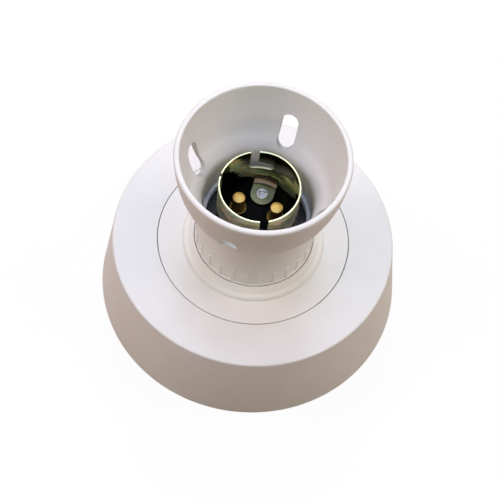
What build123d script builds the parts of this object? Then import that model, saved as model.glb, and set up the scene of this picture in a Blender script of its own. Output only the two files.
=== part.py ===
from build123d import *
import os

# Batten lamp holder for a bayonet cap, as it stands on its mounting face.
# Millimetres. Origin at the centre of the mounting face, +Z towards the lamp,
# X through the two contact plungers.

os.makedirs("parts", exist_ok=True)

# Base cover: a shallow cone, open at the back
base_height = 26.25
base_foot_radius = 45.25
base_top_radius = 41.8
base_wall = 2.2
base_edge_round = 0.5

# Cover disc, let flush into the base cover's opening
disc_radius = 28.4
disc_thickness = 2.6
disc_seam = 0.25
ledge_width = 2.0
ledge_thickness = 2.0
ledge_shoulder = 2.2

# Collar on the cover disc
collar_foot_radius = 21.2
collar_shoulder_width = 1.6
collar_shoulder_height = 1.45
collar_bore_radius = 17.8
collar_height = 2.95
collar_land = 0.35
collar_edge_round = 0.15
disc_bore_clearance = 0.25

# Neck body: a threaded tube on a flange
neck_bore_radius = 14.7
neck_wall = 1.22
neck_rise = 13.75
neck_edge_round = 0.3
neck_flange_radius = 25.4
neck_flange_thickness = 2.5
neck_flange_below_disc = 3.0
neck_boss_radius = 2.6
neck_boss_height = 2.5

# Skirt: sleeve with a ribbed foot, then the bell. Its curves run through points that are
# set as shares of the flare, from the sleeve to the rim, and of the bell's height
thread_clearance = 0.08
skirt_wall = 1.35
skirt_seat_gap = 0.1
skirt_shelf_height = 0.75
skirt_foot_clearance = 0.22
skirt_foot_height = 2.4
band_depth = 0.3
band_height = 8.95
rib_count = 26
rib_width = 0.9
rib_height = 5.2
rib_foot = 2.6
rib_root = 0.2
bell_start_rise = 9.8
bell_height = 22.75
bell_flare = 7.5
bell_shoulder_flare_share = 0.473
bell_shoulder_height_share = 0.202
bell_waist_flare_share = 0.753
bell_waist_height_share = 0.466
bell_neck_wall = 1.0
bell_throat_wall = 1.3
bell_throat_flare_share = 0.21
bell_throat_height_share = 0.085
bell_throat_depth = 3.3
bell_shoulder_wall = 1.35
bell_waist_wall = 1.8
bell_rim_wall = 1.7
bell_outer_edge_round = 0.7
bell_inner_edge_round = 0.35
vent_count = 4
vent_width = 5.1
vent_foot_share = 0.05
vent_head_share = 0.575
vent_angle = 81.9

# Insulator: a stepped head in a tube, with a foot plate on two ears
insulator_clearance = 0.2
insulator_wall = 2.5
insulator_floor_rise = 1.65
insulator_shoulder_drop = 3.05
insulator_deck = 4.0
insulator_foot_thickness = 2.5
insulator_foot_radius = 15.8
ear_radius = 3.4
ear_place = 18.9
head_clearance = 0.05

# Bayonet sleeve: sheet rolled to a tube
sheet = 0.55
sleeve_outer_radius = 11.8
sleeve_rise = 14.65
sleeve_edge_round = 0.14
seam_width = 1.1
seam_angle = 178.4
entry_width = 2.5
entry_angle = 111.5
lock_turn = 21.5
lock_height = 3.3
lock_rise = 6.1

# Tabs lanced from the sleeve and folded over the insulator's head
tab_width = 6.8
tab_relief = 0.3
tab_bend_radius = 1.9
back_rivet_place = 6.0
front_rivet_room = 0.25

# Rivets: a dished head on the tab, a hollow tail clinched under the deck
rivet_shank_radius = 1.5
rivet_bore_radius = 1.0
rivet_bore_depth = 1.8
rivet_dish_radius = 1.1
rivet_dish_floor_radius = 0.75
rivet_dish_depth = 0.4
rivet_head_radius = 1.8
rivet_head_height = 0.5
rivet_clearance = 0.05

# Contact plungers
contact_place = 5.65
contact_radius = 1.8
contact_rise = 5.95
contact_dome = 0.3
contact_foot_radius = 2.6
contact_foot_thickness = 1.2
contact_clearance = 0.05
contact_travel = 4.5

# Terminal pillars
pillar_radius = 3.3
pillar_lip_radius = 2.5
pillar_lip_wall = 0.25
pillar_lip_rise = 0.35
pillar_lip_depth = 2.0
pillar_lip_recess = 0.6
pillar_lip_round = 0.11
pillar_shoulder_thickness = 0.3
pillar_wall = 0.6
pillar_reach = 6.15
pillar_collar_radius = 4.2
pillar_collar_thickness = 0.95
pillar_clearance = 0.05
wire_hole_radius = 1.6
wire_hole_rise = 3.4
pillar_boss_wall = 1.0

# Springs
spring_wire_radius = 0.25
spring_clearance = 0.2
spring_turns = 6
spring_reserve = 4.3

# Screws
screw_radius = 1.2
screw_thread_clearance = 0.05
screw_pass_clearance = 0.3
screw_head_radius = 2.6
screw_head_height = 1.6
screw_slot_width = 0.7
screw_slot_depth = 0.7
screw_end_clearance = 0.3
blind_hole_depth = 4.2
neck_screw_place = 21.0
neck_screw_bite = 7.0
neck_screw_room = 1.2
wire_screw_head_radius = 2.2
wire_screw_gap = 0.4

# Terminal plate under the insulator
terminal_plate_thickness = 2.5

# Back plate
plate_thickness = 3.0
plate_fit = 0.35
plate_rim_step = 1.0
plate_rim_wall = 2.0
plate_rim_height = 3.0
post_radius = 3.9
cable_entry_radius = 10.0
fixing_spacing = 50.8
fixing_slot_width = 4.6
fixing_slot_length = 9.0

# Earth terminal on the back plate
earth_place = 21.2
earth_angle = 225.0
earth_length = 9.0
earth_width = 6.5
earth_height = 6.5
earth_corner_radius = 0.6
earth_hole_rise = 2.6
earth_screw_bite = 3.25

# Levels and radii that follow from the sizes above
disc_bottom = base_height - disc_thickness
opening_radius = disc_radius + disc_seam
ledge_radius = opening_radius - ledge_width
ledge_bottom = disc_bottom - ledge_thickness
cone_slope = (base_foot_radius - base_top_radius) / base_height
neck_radius = neck_bore_radius + neck_wall
skirt_bore_radius = neck_radius + thread_clearance
skirt_radius = skirt_bore_radius + skirt_wall
disc_bore_radius = neck_radius + disc_bore_clearance
shelf_level = base_height + skirt_shelf_height
collar_top = base_height + collar_height
skirt_bottom = shelf_level + skirt_seat_gap
skirt_foot_radius = collar_bore_radius - skirt_foot_clearance
skirt_foot_top = skirt_bottom + skirt_foot_height
band_top = skirt_bottom + band_height
band_radius = skirt_radius - band_depth
neck_top = base_height + neck_rise
bell_start = neck_top + bell_start_rise
bell_rim = bell_start + bell_height
bell_rim_radius = skirt_radius + bell_flare
bell_rim_bore_radius = bell_rim_radius - bell_rim_wall
shoulder_bell_radius = skirt_radius + bell_shoulder_flare_share * bell_flare
shoulder_bell_level = bell_start + bell_shoulder_height_share * bell_height
waist_bell_radius = skirt_radius + bell_waist_flare_share * bell_flare
waist_bell_level = bell_start + bell_waist_height_share * bell_height
throat_radius = skirt_radius + bell_throat_flare_share * bell_flare - bell_throat_wall
throat_level = bell_start + bell_throat_height_share * bell_height
vent_bottom = bell_start + vent_foot_share * bell_height
vent_top = bell_start + vent_head_share * bell_height
neck_flange_top = disc_bottom - neck_flange_below_disc
neck_flange_bottom = neck_flange_top - neck_flange_thickness
insulator_radius = neck_bore_radius - insulator_clearance
insulator_inner_radius = insulator_radius - insulator_wall
foot_bottom = neck_flange_bottom - insulator_foot_thickness
insulator_floor = neck_top + insulator_floor_rise
insulator_shoulder = insulator_floor - insulator_shoulder_drop
deck_bottom = insulator_floor - insulator_deck
sleeve_rim = insulator_floor + sleeve_rise
lock_bottom = insulator_floor + lock_rise
contact_top = insulator_floor + contact_rise
sleeve_bore_radius = sleeve_outer_radius - sheet
head_radius = sleeve_bore_radius - head_clearance
tab_top = insulator_floor + sheet
fold_radius = sleeve_bore_radius - tab_bend_radius
fold_level = tab_top + tab_bend_radius
terminal_plate_bottom = foot_bottom - terminal_plate_thickness
lip_top = insulator_floor + pillar_lip_rise
lip_bore_radius = contact_radius + contact_clearance
lip_recess_radius = pillar_lip_radius - pillar_lip_wall
chamber_radius = pillar_radius - pillar_wall
chamber_top = lip_top - pillar_lip_depth
pillar_shoulder = chamber_top + pillar_shoulder_thickness
pillar_bottom = terminal_plate_bottom - pillar_reach
spring_solid_length = 2 * spring_wire_radius * spring_turns
spring_room = contact_travel + spring_solid_length + spring_reserve
chamber_bottom = chamber_top - contact_foot_thickness - spring_room
contact_foot_top = chamber_top - contact_clearance
contact_foot_bottom = contact_foot_top - contact_foot_thickness
screw_hole_radius = screw_radius + screw_thread_clearance
screw_pass_radius = screw_radius + screw_pass_clearance
plate_radius = base_foot_radius - base_wall - cone_slope * plate_thickness - plate_fit
wire_hole_level = pillar_bottom + wire_hole_rise
neck_screw_places = [(neck_screw_place, 0), (-neck_screw_place, 0)]
ear_places = [(0, ear_place), (0, -ear_place)]
sides = {"left": -contact_place, "right": contact_place}
front_rivet_place = fold_radius - rivet_head_radius - front_rivet_room
ends = {"front": -front_rivet_place, "back": back_rivet_place}


def level(height):
    """The horizontal plane at a height."""
    return Plane.XY.offset(height)


def upright(x, y):
    """The plane of a section that is turned about a vertical axis at x, y."""
    return Plane(origin=(x, y, 0), x_dir=(1, 0, 0), z_dir=(0, -1, 0))


def radial(angle):
    """The vertical plane that holds the Z axis, with its own X outwards at an angle."""
    outward = Vector(1, 0, 0).rotate(Axis.Z, angle)
    return Plane(origin=(0, 0, 0), x_dir=outward, z_dir=Vector(0, -1, 0).rotate(Axis.Z, angle))


def facing(angle):
    """The vertical plane through the origin that faces outwards at an angle about Z."""
    outward = Vector(1, 0, 0).rotate(Axis.Z, angle)
    return Plane(origin=(0, 0, 0), x_dir=Vector(0, 1, 0).rotate(Axis.Z, angle), z_dir=outward)


def finish(part, name):
    """Label a finished piece and write it."""
    part.label = name
    export_step(part, f"parts/{name}.step")


# Base cover: cone, flat top with an opening, and the ledge under the disc
with BuildPart() as base_cover:
    with BuildSketch(Plane.XZ):
        with BuildLine():
            Polyline(
                (base_foot_radius, 0),
                (base_top_radius, base_height),
                (opening_radius, base_height),
                (opening_radius, disc_bottom),
                (ledge_radius, disc_bottom),
                (ledge_radius, ledge_bottom),
                (opening_radius + ledge_shoulder, ledge_bottom),
                (opening_radius + ledge_shoulder, disc_bottom),
                (base_foot_radius - base_wall - cone_slope * disc_bottom, disc_bottom),
                (base_foot_radius - base_wall, 0),
                close=True,
            )
        make_face()
    revolve(axis=Axis.Z)
    top_circles = base_cover.edges().filter_by(GeomType.CIRCLE).group_by(Axis.Z)[-1]
    fillet(top_circles.sort_by(SortBy.RADIUS)[-1], radius=base_edge_round)
finish(base_cover.part, "base_cover")

# Cover disc: flush disc, collar with a rounded shoulder, shelf for the skirt
with BuildPart() as cover_disc:
    with BuildSketch(Plane.XZ):
        with BuildLine():
            shoulder_radius = collar_foot_radius - collar_shoulder_width
            shoulder_level = base_height + collar_shoulder_height
            Polyline(
                (collar_foot_radius, base_height),
                (disc_radius, base_height),
                (disc_radius, disc_bottom),
                (disc_bore_radius, disc_bottom),
                (disc_bore_radius, shelf_level),
                (collar_bore_radius, shelf_level),
                (collar_bore_radius, collar_top),
                (collar_bore_radius + collar_land, collar_top),
                (shoulder_radius, shoulder_level),
            )
            EllipticalCenterArc(
                (shoulder_radius, base_height),
                collar_shoulder_width,
                collar_shoulder_height,
                arc_size=90,
            )
        make_face()
    revolve(axis=Axis.Z)
    collar_edge = cover_disc.edges().filter_by(GeomType.CIRCLE).group_by(Axis.Z)[-1]
    fillet(collar_edge, radius=collar_edge_round)
finish(cover_disc.part, "cover_disc")

# Neck body: tube on a flange, with bosses for the insulator's screws
with BuildPart() as neck_body:
    with BuildSketch(Plane.XZ):
        with BuildLine():
            Polyline(
                (neck_bore_radius, neck_flange_bottom),
                (neck_flange_radius, neck_flange_bottom),
                (neck_flange_radius, neck_flange_top),
                (neck_radius, neck_flange_top),
                (neck_radius, neck_top),
                (neck_bore_radius, neck_top),
                close=True,
            )
        make_face()
    revolve(axis=Axis.Z)
    fillet(neck_body.edges().group_by(Axis.Z)[-1], radius=neck_edge_round)
    with BuildSketch(level(neck_flange_top)):
        with Locations(*ear_places):
            Circle(neck_boss_radius)
        Circle(neck_bore_radius, mode=Mode.SUBTRACT)
    extrude(amount=neck_boss_height)
    with BuildSketch(level(neck_flange_bottom)):
        with Locations(*ear_places):
            Circle(screw_hole_radius)
    extrude(amount=blind_hole_depth, mode=Mode.SUBTRACT)
    with BuildSketch(level(neck_flange_bottom)):
        with Locations(*neck_screw_places):
            Circle(screw_pass_radius)
    extrude(amount=neck_flange_thickness, mode=Mode.SUBTRACT)
finish(neck_body.part, "neck_body")

# Skirt: turned section, ribs on the recessed band, then the vents
with BuildPart() as skirt:
    with BuildSketch(Plane.XZ):
        with BuildLine():
            Polyline(
                (bell_rim_bore_radius, bell_rim),
                (bell_rim_radius, bell_rim),
            )
            Spline(
                (bell_rim_radius, bell_rim),
                (waist_bell_radius, waist_bell_level),
                (shoulder_bell_radius, shoulder_bell_level),
                (skirt_radius, bell_start),
                tangents=[(-0.1, -1), (-1, -0.9)],
            )
            Polyline(
                (skirt_radius, bell_start),
                (skirt_radius, band_top),
                (band_radius, band_top),
                (band_radius, skirt_foot_top),
                (skirt_foot_radius, skirt_foot_top),
                (skirt_foot_radius, skirt_bottom),
                (skirt_bore_radius, skirt_bottom),
                (skirt_bore_radius, bell_start - bell_throat_depth),
            )
            Spline(
                (skirt_bore_radius, bell_start - bell_throat_depth),
                (skirt_radius - bell_neck_wall, bell_start),
                (throat_radius, throat_level),
                (shoulder_bell_radius - bell_shoulder_wall, shoulder_bell_level),
                (waist_bell_radius - bell_waist_wall, waist_bell_level),
                (bell_rim_bore_radius, bell_rim),
                tangents=[(0, 1), (0.1, 1)],
            )
        make_face()
    revolve(axis=Axis.Z)
    rim_edges = skirt.edges().filter_by(GeomType.CIRCLE).group_by(Axis.Z)[-1].sort_by(SortBy.RADIUS)
    fillet(rim_edges[-1], radius=bell_outer_edge_round)
    fillet(rim_edges[0], radius=bell_inner_edge_round)
    with BuildSketch(level(skirt_bottom + rib_foot)):
        with PolarLocations((band_radius + skirt_radius) / 2, rib_count):
            Rectangle(band_depth + rib_root, rib_width)
        Circle(band_radius - rib_root, mode=Mode.SUBTRACT)
    extrude(amount=rib_height)
    for vent in range(vent_count):
        with BuildSketch(facing(vent_angle + vent * 360 / vent_count)):
            with Locations((0, (vent_bottom + vent_top) / 2)):
                SlotOverall(vent_top - vent_bottom, vent_width, rotation=90)
        extrude(amount=bell_rim_radius, mode=Mode.SUBTRACT)
finish(skirt.part, "skirt")

# Insulator: head, deck and tube, foot plate with two ears, sockets for the pillars
with BuildPart() as insulator:
    with BuildSketch(Plane.XZ):
        with BuildLine():
            Polyline(
                (0, deck_bottom),
                (insulator_inner_radius, deck_bottom),
                (insulator_inner_radius, foot_bottom),
                (insulator_radius, foot_bottom),
                (insulator_radius, insulator_shoulder),
                (head_radius, insulator_shoulder),
                (head_radius, insulator_floor),
                (0, insulator_floor),
                close=True,
            )
        make_face()
    revolve(axis=Axis.Z)
    with BuildSketch(level(foot_bottom)):
        Circle(insulator_foot_radius)
        with Locations(*ear_places):
            Circle(ear_radius)
        make_hull()
        Circle(insulator_inner_radius, mode=Mode.SUBTRACT)
        with Locations(*ear_places):
            Circle(screw_pass_radius, mode=Mode.SUBTRACT)
    extrude(amount=insulator_foot_thickness)
    socket_radius = pillar_radius + pillar_clearance
    collar_socket_radius = pillar_collar_radius + pillar_clearance
    pillar_places = [(x, 0) for x in sides.values()]
    with BuildSketch(level(foot_bottom)):
        with Locations(*pillar_places):
            Circle(collar_socket_radius + pillar_boss_wall)
    extrude(amount=deck_bottom - foot_bottom)
    with BuildSketch(level(foot_bottom)):
        with Locations(*pillar_places):
            Circle(collar_socket_radius)
    extrude(amount=pillar_collar_thickness, mode=Mode.SUBTRACT)
    with BuildSketch(level(foot_bottom)):
        with Locations(*pillar_places):
            Circle(socket_radius)
    extrude(amount=pillar_shoulder - foot_bottom, mode=Mode.SUBTRACT)
    with BuildSketch(level(pillar_shoulder)):
        with Locations(*pillar_places):
            Circle(pillar_lip_radius + pillar_clearance)
    extrude(amount=insulator_deck, mode=Mode.SUBTRACT)
    with BuildSketch(level(deck_bottom)):
        with Locations(*[(0, y) for y in ends.values()]):
            Circle(rivet_shank_radius + rivet_clearance)
    extrude(amount=insulator_deck, mode=Mode.SUBTRACT)
finish(insulator.part, "insulator")

# Terminal plate: closes the insulator from below and holds the pillars up
with BuildPart() as terminal_plate:
    with BuildSketch(level(terminal_plate_bottom)):
        Circle(insulator_foot_radius)
        with Locations(*ear_places):
            Circle(ear_radius)
        make_hull()
        with Locations(*ear_places):
            Circle(screw_pass_radius, mode=Mode.SUBTRACT)
        with Locations(*pillar_places):
            Circle(socket_radius, mode=Mode.SUBTRACT)
    extrude(amount=terminal_plate_thickness)
finish(terminal_plate.part, "terminal_plate")

# Folds of the sleeve's tabs: the turned sheet between the wall and the flat tabs
with BuildPart() as tab_folds:
    with BuildSketch(radial(0)) as fold_section:
        with Locations((fold_radius, fold_level)):
            Circle(tab_bend_radius + sheet)
            Circle(tab_bend_radius, mode=Mode.SUBTRACT)
            Rectangle(
                tab_bend_radius + sheet,
                tab_bend_radius + sheet,
                align=(Align.MIN, Align.MAX),
                mode=Mode.INTERSECT,
            )
    revolve(fold_section.sketch, axis=Axis.Z)
    with BuildSketch(level(insulator_floor)):
        Rectangle(tab_width, 2 * sleeve_outer_radius)
    extrude(amount=fold_level - insulator_floor, mode=Mode.INTERSECT)

# Bayonet sleeve: tube, J slots, open seam, windows left by the tabs, folded tabs
with BuildPart() as bayonet_sleeve:
    with BuildSketch(level(insulator_shoulder)):
        Circle(sleeve_outer_radius)
        Circle(sleeve_bore_radius, mode=Mode.SUBTRACT)
    extrude(amount=sleeve_rim - insulator_shoulder)
    fillet(bayonet_sleeve.edges().group_by(Axis.Z)[-1], radius=sleeve_edge_round)
    with BuildSketch(facing(seam_angle)):
        with Locations((0, insulator_shoulder)):
            Rectangle(seam_width, sleeve_rim, align=(Align.CENTER, Align.MIN))
    extrude(amount=2 * sleeve_outer_radius, mode=Mode.SUBTRACT)
    for half_turn in (0, 180):
        entry = entry_angle + half_turn
        with BuildSketch(facing(entry)):
            with Locations((0, lock_bottom)):
                SlotOverall(sleeve_rim, entry_width, rotation=90, align=(Align.MIN, Align.CENTER))
        extrude(amount=2 * sleeve_outer_radius, mode=Mode.SUBTRACT)
        with BuildSketch(facing(entry - lock_turn)):
            with Locations((0, lock_bottom + lock_height / 2)):
                Circle(lock_height / 2)
        extrude(amount=2 * sleeve_outer_radius, mode=Mode.SUBTRACT)
        with BuildSketch(radial(entry - lock_turn)):
            with Locations((sleeve_outer_radius, lock_bottom + lock_height / 2)):
                Rectangle(2 * (sleeve_outer_radius - fold_radius), lock_height)
        revolve(axis=Axis.Z, revolution_arc=lock_turn, mode=Mode.SUBTRACT)
        with BuildSketch(facing(90 + half_turn)):
            with Locations((0, fold_level)):
                Rectangle(
                    tab_width + 2 * tab_relief,
                    fold_level,
                    align=(Align.CENTER, Align.MAX),
                )
        extrude(amount=2 * sleeve_outer_radius, mode=Mode.SUBTRACT)
    add(tab_folds.part)
    for y in ends.values():
        with BuildSketch(level(insulator_floor)):
            with Locations((0, y)):
                Circle(tab_width / 2)
            with Locations((0, 2 * y)):
                Rectangle(tab_width, 2 * abs(y))
            Circle(fold_radius, mode=Mode.INTERSECT)
            with Locations((0, y)):
                Circle(rivet_shank_radius + rivet_clearance, mode=Mode.SUBTRACT)
        extrude(amount=sheet)
finish(bayonet_sleeve.part, "bayonet_sleeve")

# Rivets: dished head on the tab, shank through the deck, tail clinched below
for end, y in ends.items():
    name = f"sleeve_rivet_{end}"
    tail_end = deck_bottom - rivet_head_height
    head_top = tab_top + rivet_head_height
    with BuildPart() as rivet:
        with BuildSketch(upright(0, y)):
            with BuildLine():
                Polyline(
                    (rivet_dish_radius, head_top),
                    (rivet_dish_floor_radius, head_top - rivet_dish_depth),
                    (0, head_top - rivet_dish_depth),
                    (0, tail_end + rivet_bore_depth),
                    (rivet_bore_radius, tail_end + rivet_bore_depth),
                    (rivet_bore_radius, tail_end),
                    (rivet_head_radius, tail_end),
                    (rivet_head_radius, deck_bottom),
                    (rivet_shank_radius, deck_bottom),
                    (rivet_shank_radius, tab_top),
                    (rivet_head_radius, tab_top),
                )
                EllipticalCenterArc(
                    (rivet_dish_radius, tab_top),
                    rivet_head_radius - rivet_dish_radius,
                    rivet_head_height,
                    arc_size=90,
                )
            make_face()
        revolve(axis=Axis((0, y, 0), (0, 0, 1)))
    finish(rivet.part, name)

# Plungers, springs, pillars and wire screws, one of each on either side
for side, x in sides.items():
    axis = Axis((x, 0, 0), (0, 0, 1))
    with BuildPart() as contact:
        with BuildSketch(upright(x, 0)):
            with BuildLine():
                Polyline(
                    (0, contact_top),
                    (0, contact_foot_bottom),
                    (contact_foot_radius, contact_foot_bottom),
                    (contact_foot_radius, contact_foot_top),
                    (contact_radius, contact_foot_top),
                    (contact_radius, contact_top - contact_dome),
                )
                TangentArc(
                    (0, contact_top),
                    (contact_radius, contact_top - contact_dome),
                    tangent=(1, 0),
                )
            make_face()
        revolve(axis=axis)
    finish(contact.part, f"contact_{side}")

    spring_start = chamber_bottom + 2 * spring_wire_radius
    spring_height = contact_foot_bottom - 2 * spring_wire_radius - spring_start
    coil_radius = chamber_radius - spring_clearance - spring_wire_radius
    with BuildPart() as spring:
        with BuildLine():
            Helix(
                pitch=spring_height / spring_turns,
                height=spring_height,
                radius=coil_radius,
                center=(x, 0, spring_start),
            )
        with BuildSketch(Plane(origin=(x + coil_radius, 0, spring_start), z_dir=(0, 1, 0))):
            Circle(spring_wire_radius)
        sweep(is_frenet=True)
    finish(spring.part, f"spring_{side}")

    wire_plane = Plane(origin=(x, 0, wire_hole_level), x_dir=(0, 1, 0), z_dir=(x, 0, 0))
    with BuildPart() as terminal:
        with BuildSketch(upright(x, 0)):
            with BuildLine():
                Polyline(
                    (0, pillar_bottom),
                    (pillar_radius, pillar_bottom),
                    (pillar_radius, foot_bottom),
                    (pillar_collar_radius, foot_bottom),
                    (pillar_collar_radius, foot_bottom + pillar_collar_thickness - pillar_clearance),
                    (pillar_radius, foot_bottom + pillar_collar_thickness - pillar_clearance),
                    (pillar_radius, pillar_shoulder),
                    (pillar_lip_radius, pillar_shoulder),
                    (pillar_lip_radius, lip_top),
                    (lip_recess_radius, lip_top),
                    (lip_recess_radius, lip_top - pillar_lip_recess),
                    (lip_bore_radius, lip_top - pillar_lip_recess),
                    (lip_bore_radius, chamber_top),
                    (chamber_radius, chamber_top),
                    (chamber_radius, chamber_bottom),
                    (0, chamber_bottom),
                    close=True,
                )
            make_face()
        revolve(axis=axis)
        fillet(terminal.edges().filter_by(GeomType.CIRCLE).group_by(Axis.Z)[-1], radius=pillar_lip_round)
        with BuildSketch(Plane.XZ):
            with Locations((x, wire_hole_level)):
                Circle(wire_hole_radius)
        extrude(amount=2 * pillar_radius, both=True, mode=Mode.SUBTRACT)
        with BuildSketch(wire_plane):
            Circle(screw_hole_radius)
        extrude(amount=2 * pillar_radius, mode=Mode.SUBTRACT)
    finish(terminal.part, f"terminal_{side}")

    head_place = pillar_radius + wire_screw_gap
    with BuildPart() as wire_screw:
        with BuildSketch(wire_plane):
            Circle(screw_radius)
        extrude(amount=head_place)
        with BuildSketch(wire_plane.offset(head_place)):
            Circle(wire_screw_head_radius)
        extrude(amount=screw_head_height)
        with BuildSketch(wire_plane.offset(head_place + screw_head_height)):
            Rectangle(2 * wire_screw_head_radius, screw_slot_width)
        extrude(amount=-screw_slot_depth, mode=Mode.SUBTRACT)
    finish(wire_screw.part, f"terminal_screw_{side}")

# Insulator screws, from below through both plates into the neck body's bosses
with BuildPart() as insulator_screws:
    with BuildSketch(level(terminal_plate_bottom)):
        with Locations(*ear_places):
            Circle(screw_radius)
    extrude(amount=neck_flange_bottom + blind_hole_depth - screw_end_clearance - terminal_plate_bottom)
    with BuildSketch(level(terminal_plate_bottom)):
        with Locations(*ear_places):
            Circle(screw_head_radius)
    extrude(amount=-screw_head_height)
    with BuildSketch(level(terminal_plate_bottom - screw_head_height)):
        with Locations(*ear_places):
            Rectangle(2 * screw_head_radius, screw_slot_width)
    extrude(amount=screw_slot_depth, mode=Mode.SUBTRACT)
finish(insulator_screws.part, "insulator_screws")

# Neck screws, from above through the neck body's flange into the posts
with BuildPart() as neck_screws:
    with BuildSketch(level(neck_flange_top)):
        with Locations(*neck_screw_places):
            Circle(screw_radius)
    extrude(amount=-(neck_flange_thickness + neck_screw_bite))
    with BuildSketch(level(neck_flange_top)):
        with Locations(*neck_screw_places):
            Circle(screw_head_radius)
    extrude(amount=screw_head_height)
    with BuildSketch(level(neck_flange_top + screw_head_height)):
        with Locations(*neck_screw_places):
            Rectangle(screw_slot_width, 2 * screw_head_radius)
    extrude(amount=-screw_slot_depth, mode=Mode.SUBTRACT)
finish(neck_screws.part, "neck_screws")

# Back plate: disc with a rim inside the cone, posts, cable entry, fixing slots
with BuildPart() as back_plate:
    with BuildSketch():
        Circle(plate_radius)
    extrude(amount=plate_thickness)
    with BuildSketch(level(plate_thickness)):
        Circle(plate_radius - plate_rim_step)
        Circle(plate_radius - plate_rim_step - plate_rim_wall, mode=Mode.SUBTRACT)
    extrude(amount=plate_rim_height)
    with BuildSketch(level(plate_thickness)):
        with Locations(*neck_screw_places):
            Circle(post_radius)
    extrude(amount=neck_flange_bottom - plate_thickness)
    with BuildSketch(level(neck_flange_bottom)):
        with Locations(*neck_screw_places):
            Circle(screw_hole_radius)
    extrude(amount=-(neck_screw_bite + neck_screw_room), mode=Mode.SUBTRACT)
    with BuildSketch():
        Circle(cable_entry_radius)
        with Locations((0, fixing_spacing / 2), (0, -fixing_spacing / 2)):
            SlotOverall(fixing_slot_length, fixing_slot_width, rotation=90)
    extrude(amount=plate_thickness, mode=Mode.SUBTRACT)
finish(back_plate.part, "back_plate")

# Earth terminal: a brass block on the back plate, with its wire hole and screw
earth_plane = radial(earth_angle)
with BuildPart() as earth_terminal:
    earth_foot = Plane(
        origin=earth_plane.x_dir * earth_place + Vector(0, 0, plate_thickness),
        x_dir=earth_plane.z_dir,
        z_dir=(0, 0, 1),
    )
    with BuildSketch(earth_foot):
        RectangleRounded(earth_length, earth_width, earth_corner_radius)
    extrude(amount=earth_height)
    with BuildSketch(Plane(origin=earth_foot.origin, x_dir=earth_foot.x_dir, z_dir=earth_foot.y_dir)):
        with Locations((0, -earth_hole_rise)):
            Circle(wire_hole_radius)
    extrude(amount=earth_width, both=True, mode=Mode.SUBTRACT)
    with BuildSketch(earth_foot.offset(earth_height)):
        Circle(screw_hole_radius)
    extrude(amount=-earth_screw_bite, mode=Mode.SUBTRACT)
finish(earth_terminal.part, "earth_terminal")

with BuildPart() as earth_screw:
    with BuildSketch(earth_foot.offset(earth_height - earth_screw_bite)):
        Circle(screw_radius)
    extrude(amount=earth_screw_bite + wire_screw_gap)
    with BuildSketch(earth_foot.offset(earth_height + wire_screw_gap)):
        Circle(screw_head_radius)
    extrude(amount=screw_head_height)
    with BuildSketch(earth_foot.offset(earth_height + wire_screw_gap + screw_head_height)):
        Rectangle(2 * screw_head_radius, screw_slot_width)
    extrude(amount=-screw_slot_depth, mode=Mode.SUBTRACT)
finish(earth_screw.part, "earth_screw")
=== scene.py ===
"""Looks of a batten lamp holder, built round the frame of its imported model.

The holder stands on its mounting face at the origin, with +Z towards the lamp and X through
the two contact plungers. Sizes in the classes below are millimetres, and MM turns them into
Blender's metres.
"""

import logging
from contextlib import contextmanager
from dataclasses import dataclass, replace
from enum import Enum
from math import cos, pi, radians, sin, tan
from typing import Callable, Iterator, Sequence

import bpy
from mathutils import Euler, Matrix, Vector


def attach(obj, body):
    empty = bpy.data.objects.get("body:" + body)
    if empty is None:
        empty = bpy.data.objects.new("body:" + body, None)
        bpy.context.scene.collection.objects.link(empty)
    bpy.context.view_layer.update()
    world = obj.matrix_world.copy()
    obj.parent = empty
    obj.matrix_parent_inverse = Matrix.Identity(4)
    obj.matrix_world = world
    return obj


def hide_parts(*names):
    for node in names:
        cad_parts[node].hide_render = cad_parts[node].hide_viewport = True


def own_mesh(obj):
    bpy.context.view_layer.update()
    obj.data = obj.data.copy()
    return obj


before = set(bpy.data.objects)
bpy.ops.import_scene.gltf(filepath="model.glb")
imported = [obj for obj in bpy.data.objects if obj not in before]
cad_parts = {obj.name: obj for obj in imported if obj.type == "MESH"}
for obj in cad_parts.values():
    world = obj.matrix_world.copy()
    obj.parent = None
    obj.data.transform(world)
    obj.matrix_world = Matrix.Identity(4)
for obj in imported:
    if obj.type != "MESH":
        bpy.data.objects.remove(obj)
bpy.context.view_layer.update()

LOG = logging.getLogger("batten_lamp_holder")
MM = 0.001
WELD = 1e-6  # Vertices closer than this, in metres, are one.
CLEAR = 1.0  # How far a cutter reaches past what it cuts.
FLOOR_SIZE = 6.0  # Width of the studio's floor, in metres.
TINT_START = 0.45  # Gloss above which a finish's tint shows.
UPRIGHT = Euler((0, 0, 0))
BOTH_SIDES = (-1, 1)
PILLAR_PLACE = 5.65  # Distance of the brass pillars from the holder's axis.
RIVET_PLACES = (6.0, -7.3)  # Y of the back and the front rivet.

Outline = list[tuple[float, float]]
Triple = tuple[float, float, float]
Thing = bpy.types.Object
Socket = bpy.types.NodeSocket


class Body(Enum):
    """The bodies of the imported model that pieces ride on."""

    HOLDER = "holder"
    SKIRT = "skirt"
    LEFT_CONTACT = "contact_left"
    RIGHT_CONTACT = "contact_right"


class Slot(Enum):
    """The record's material slots."""

    WHITE = "white_plastic"
    BLACK = "black_plastic"
    SLEEVE = "passivated_steel"
    BRASS = "brass"
    STEEL = "bright_steel"


class Side(Enum):
    """The two sides of the socket, as the sign of X."""

    LEFT = -1
    RIGHT = 1


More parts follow.
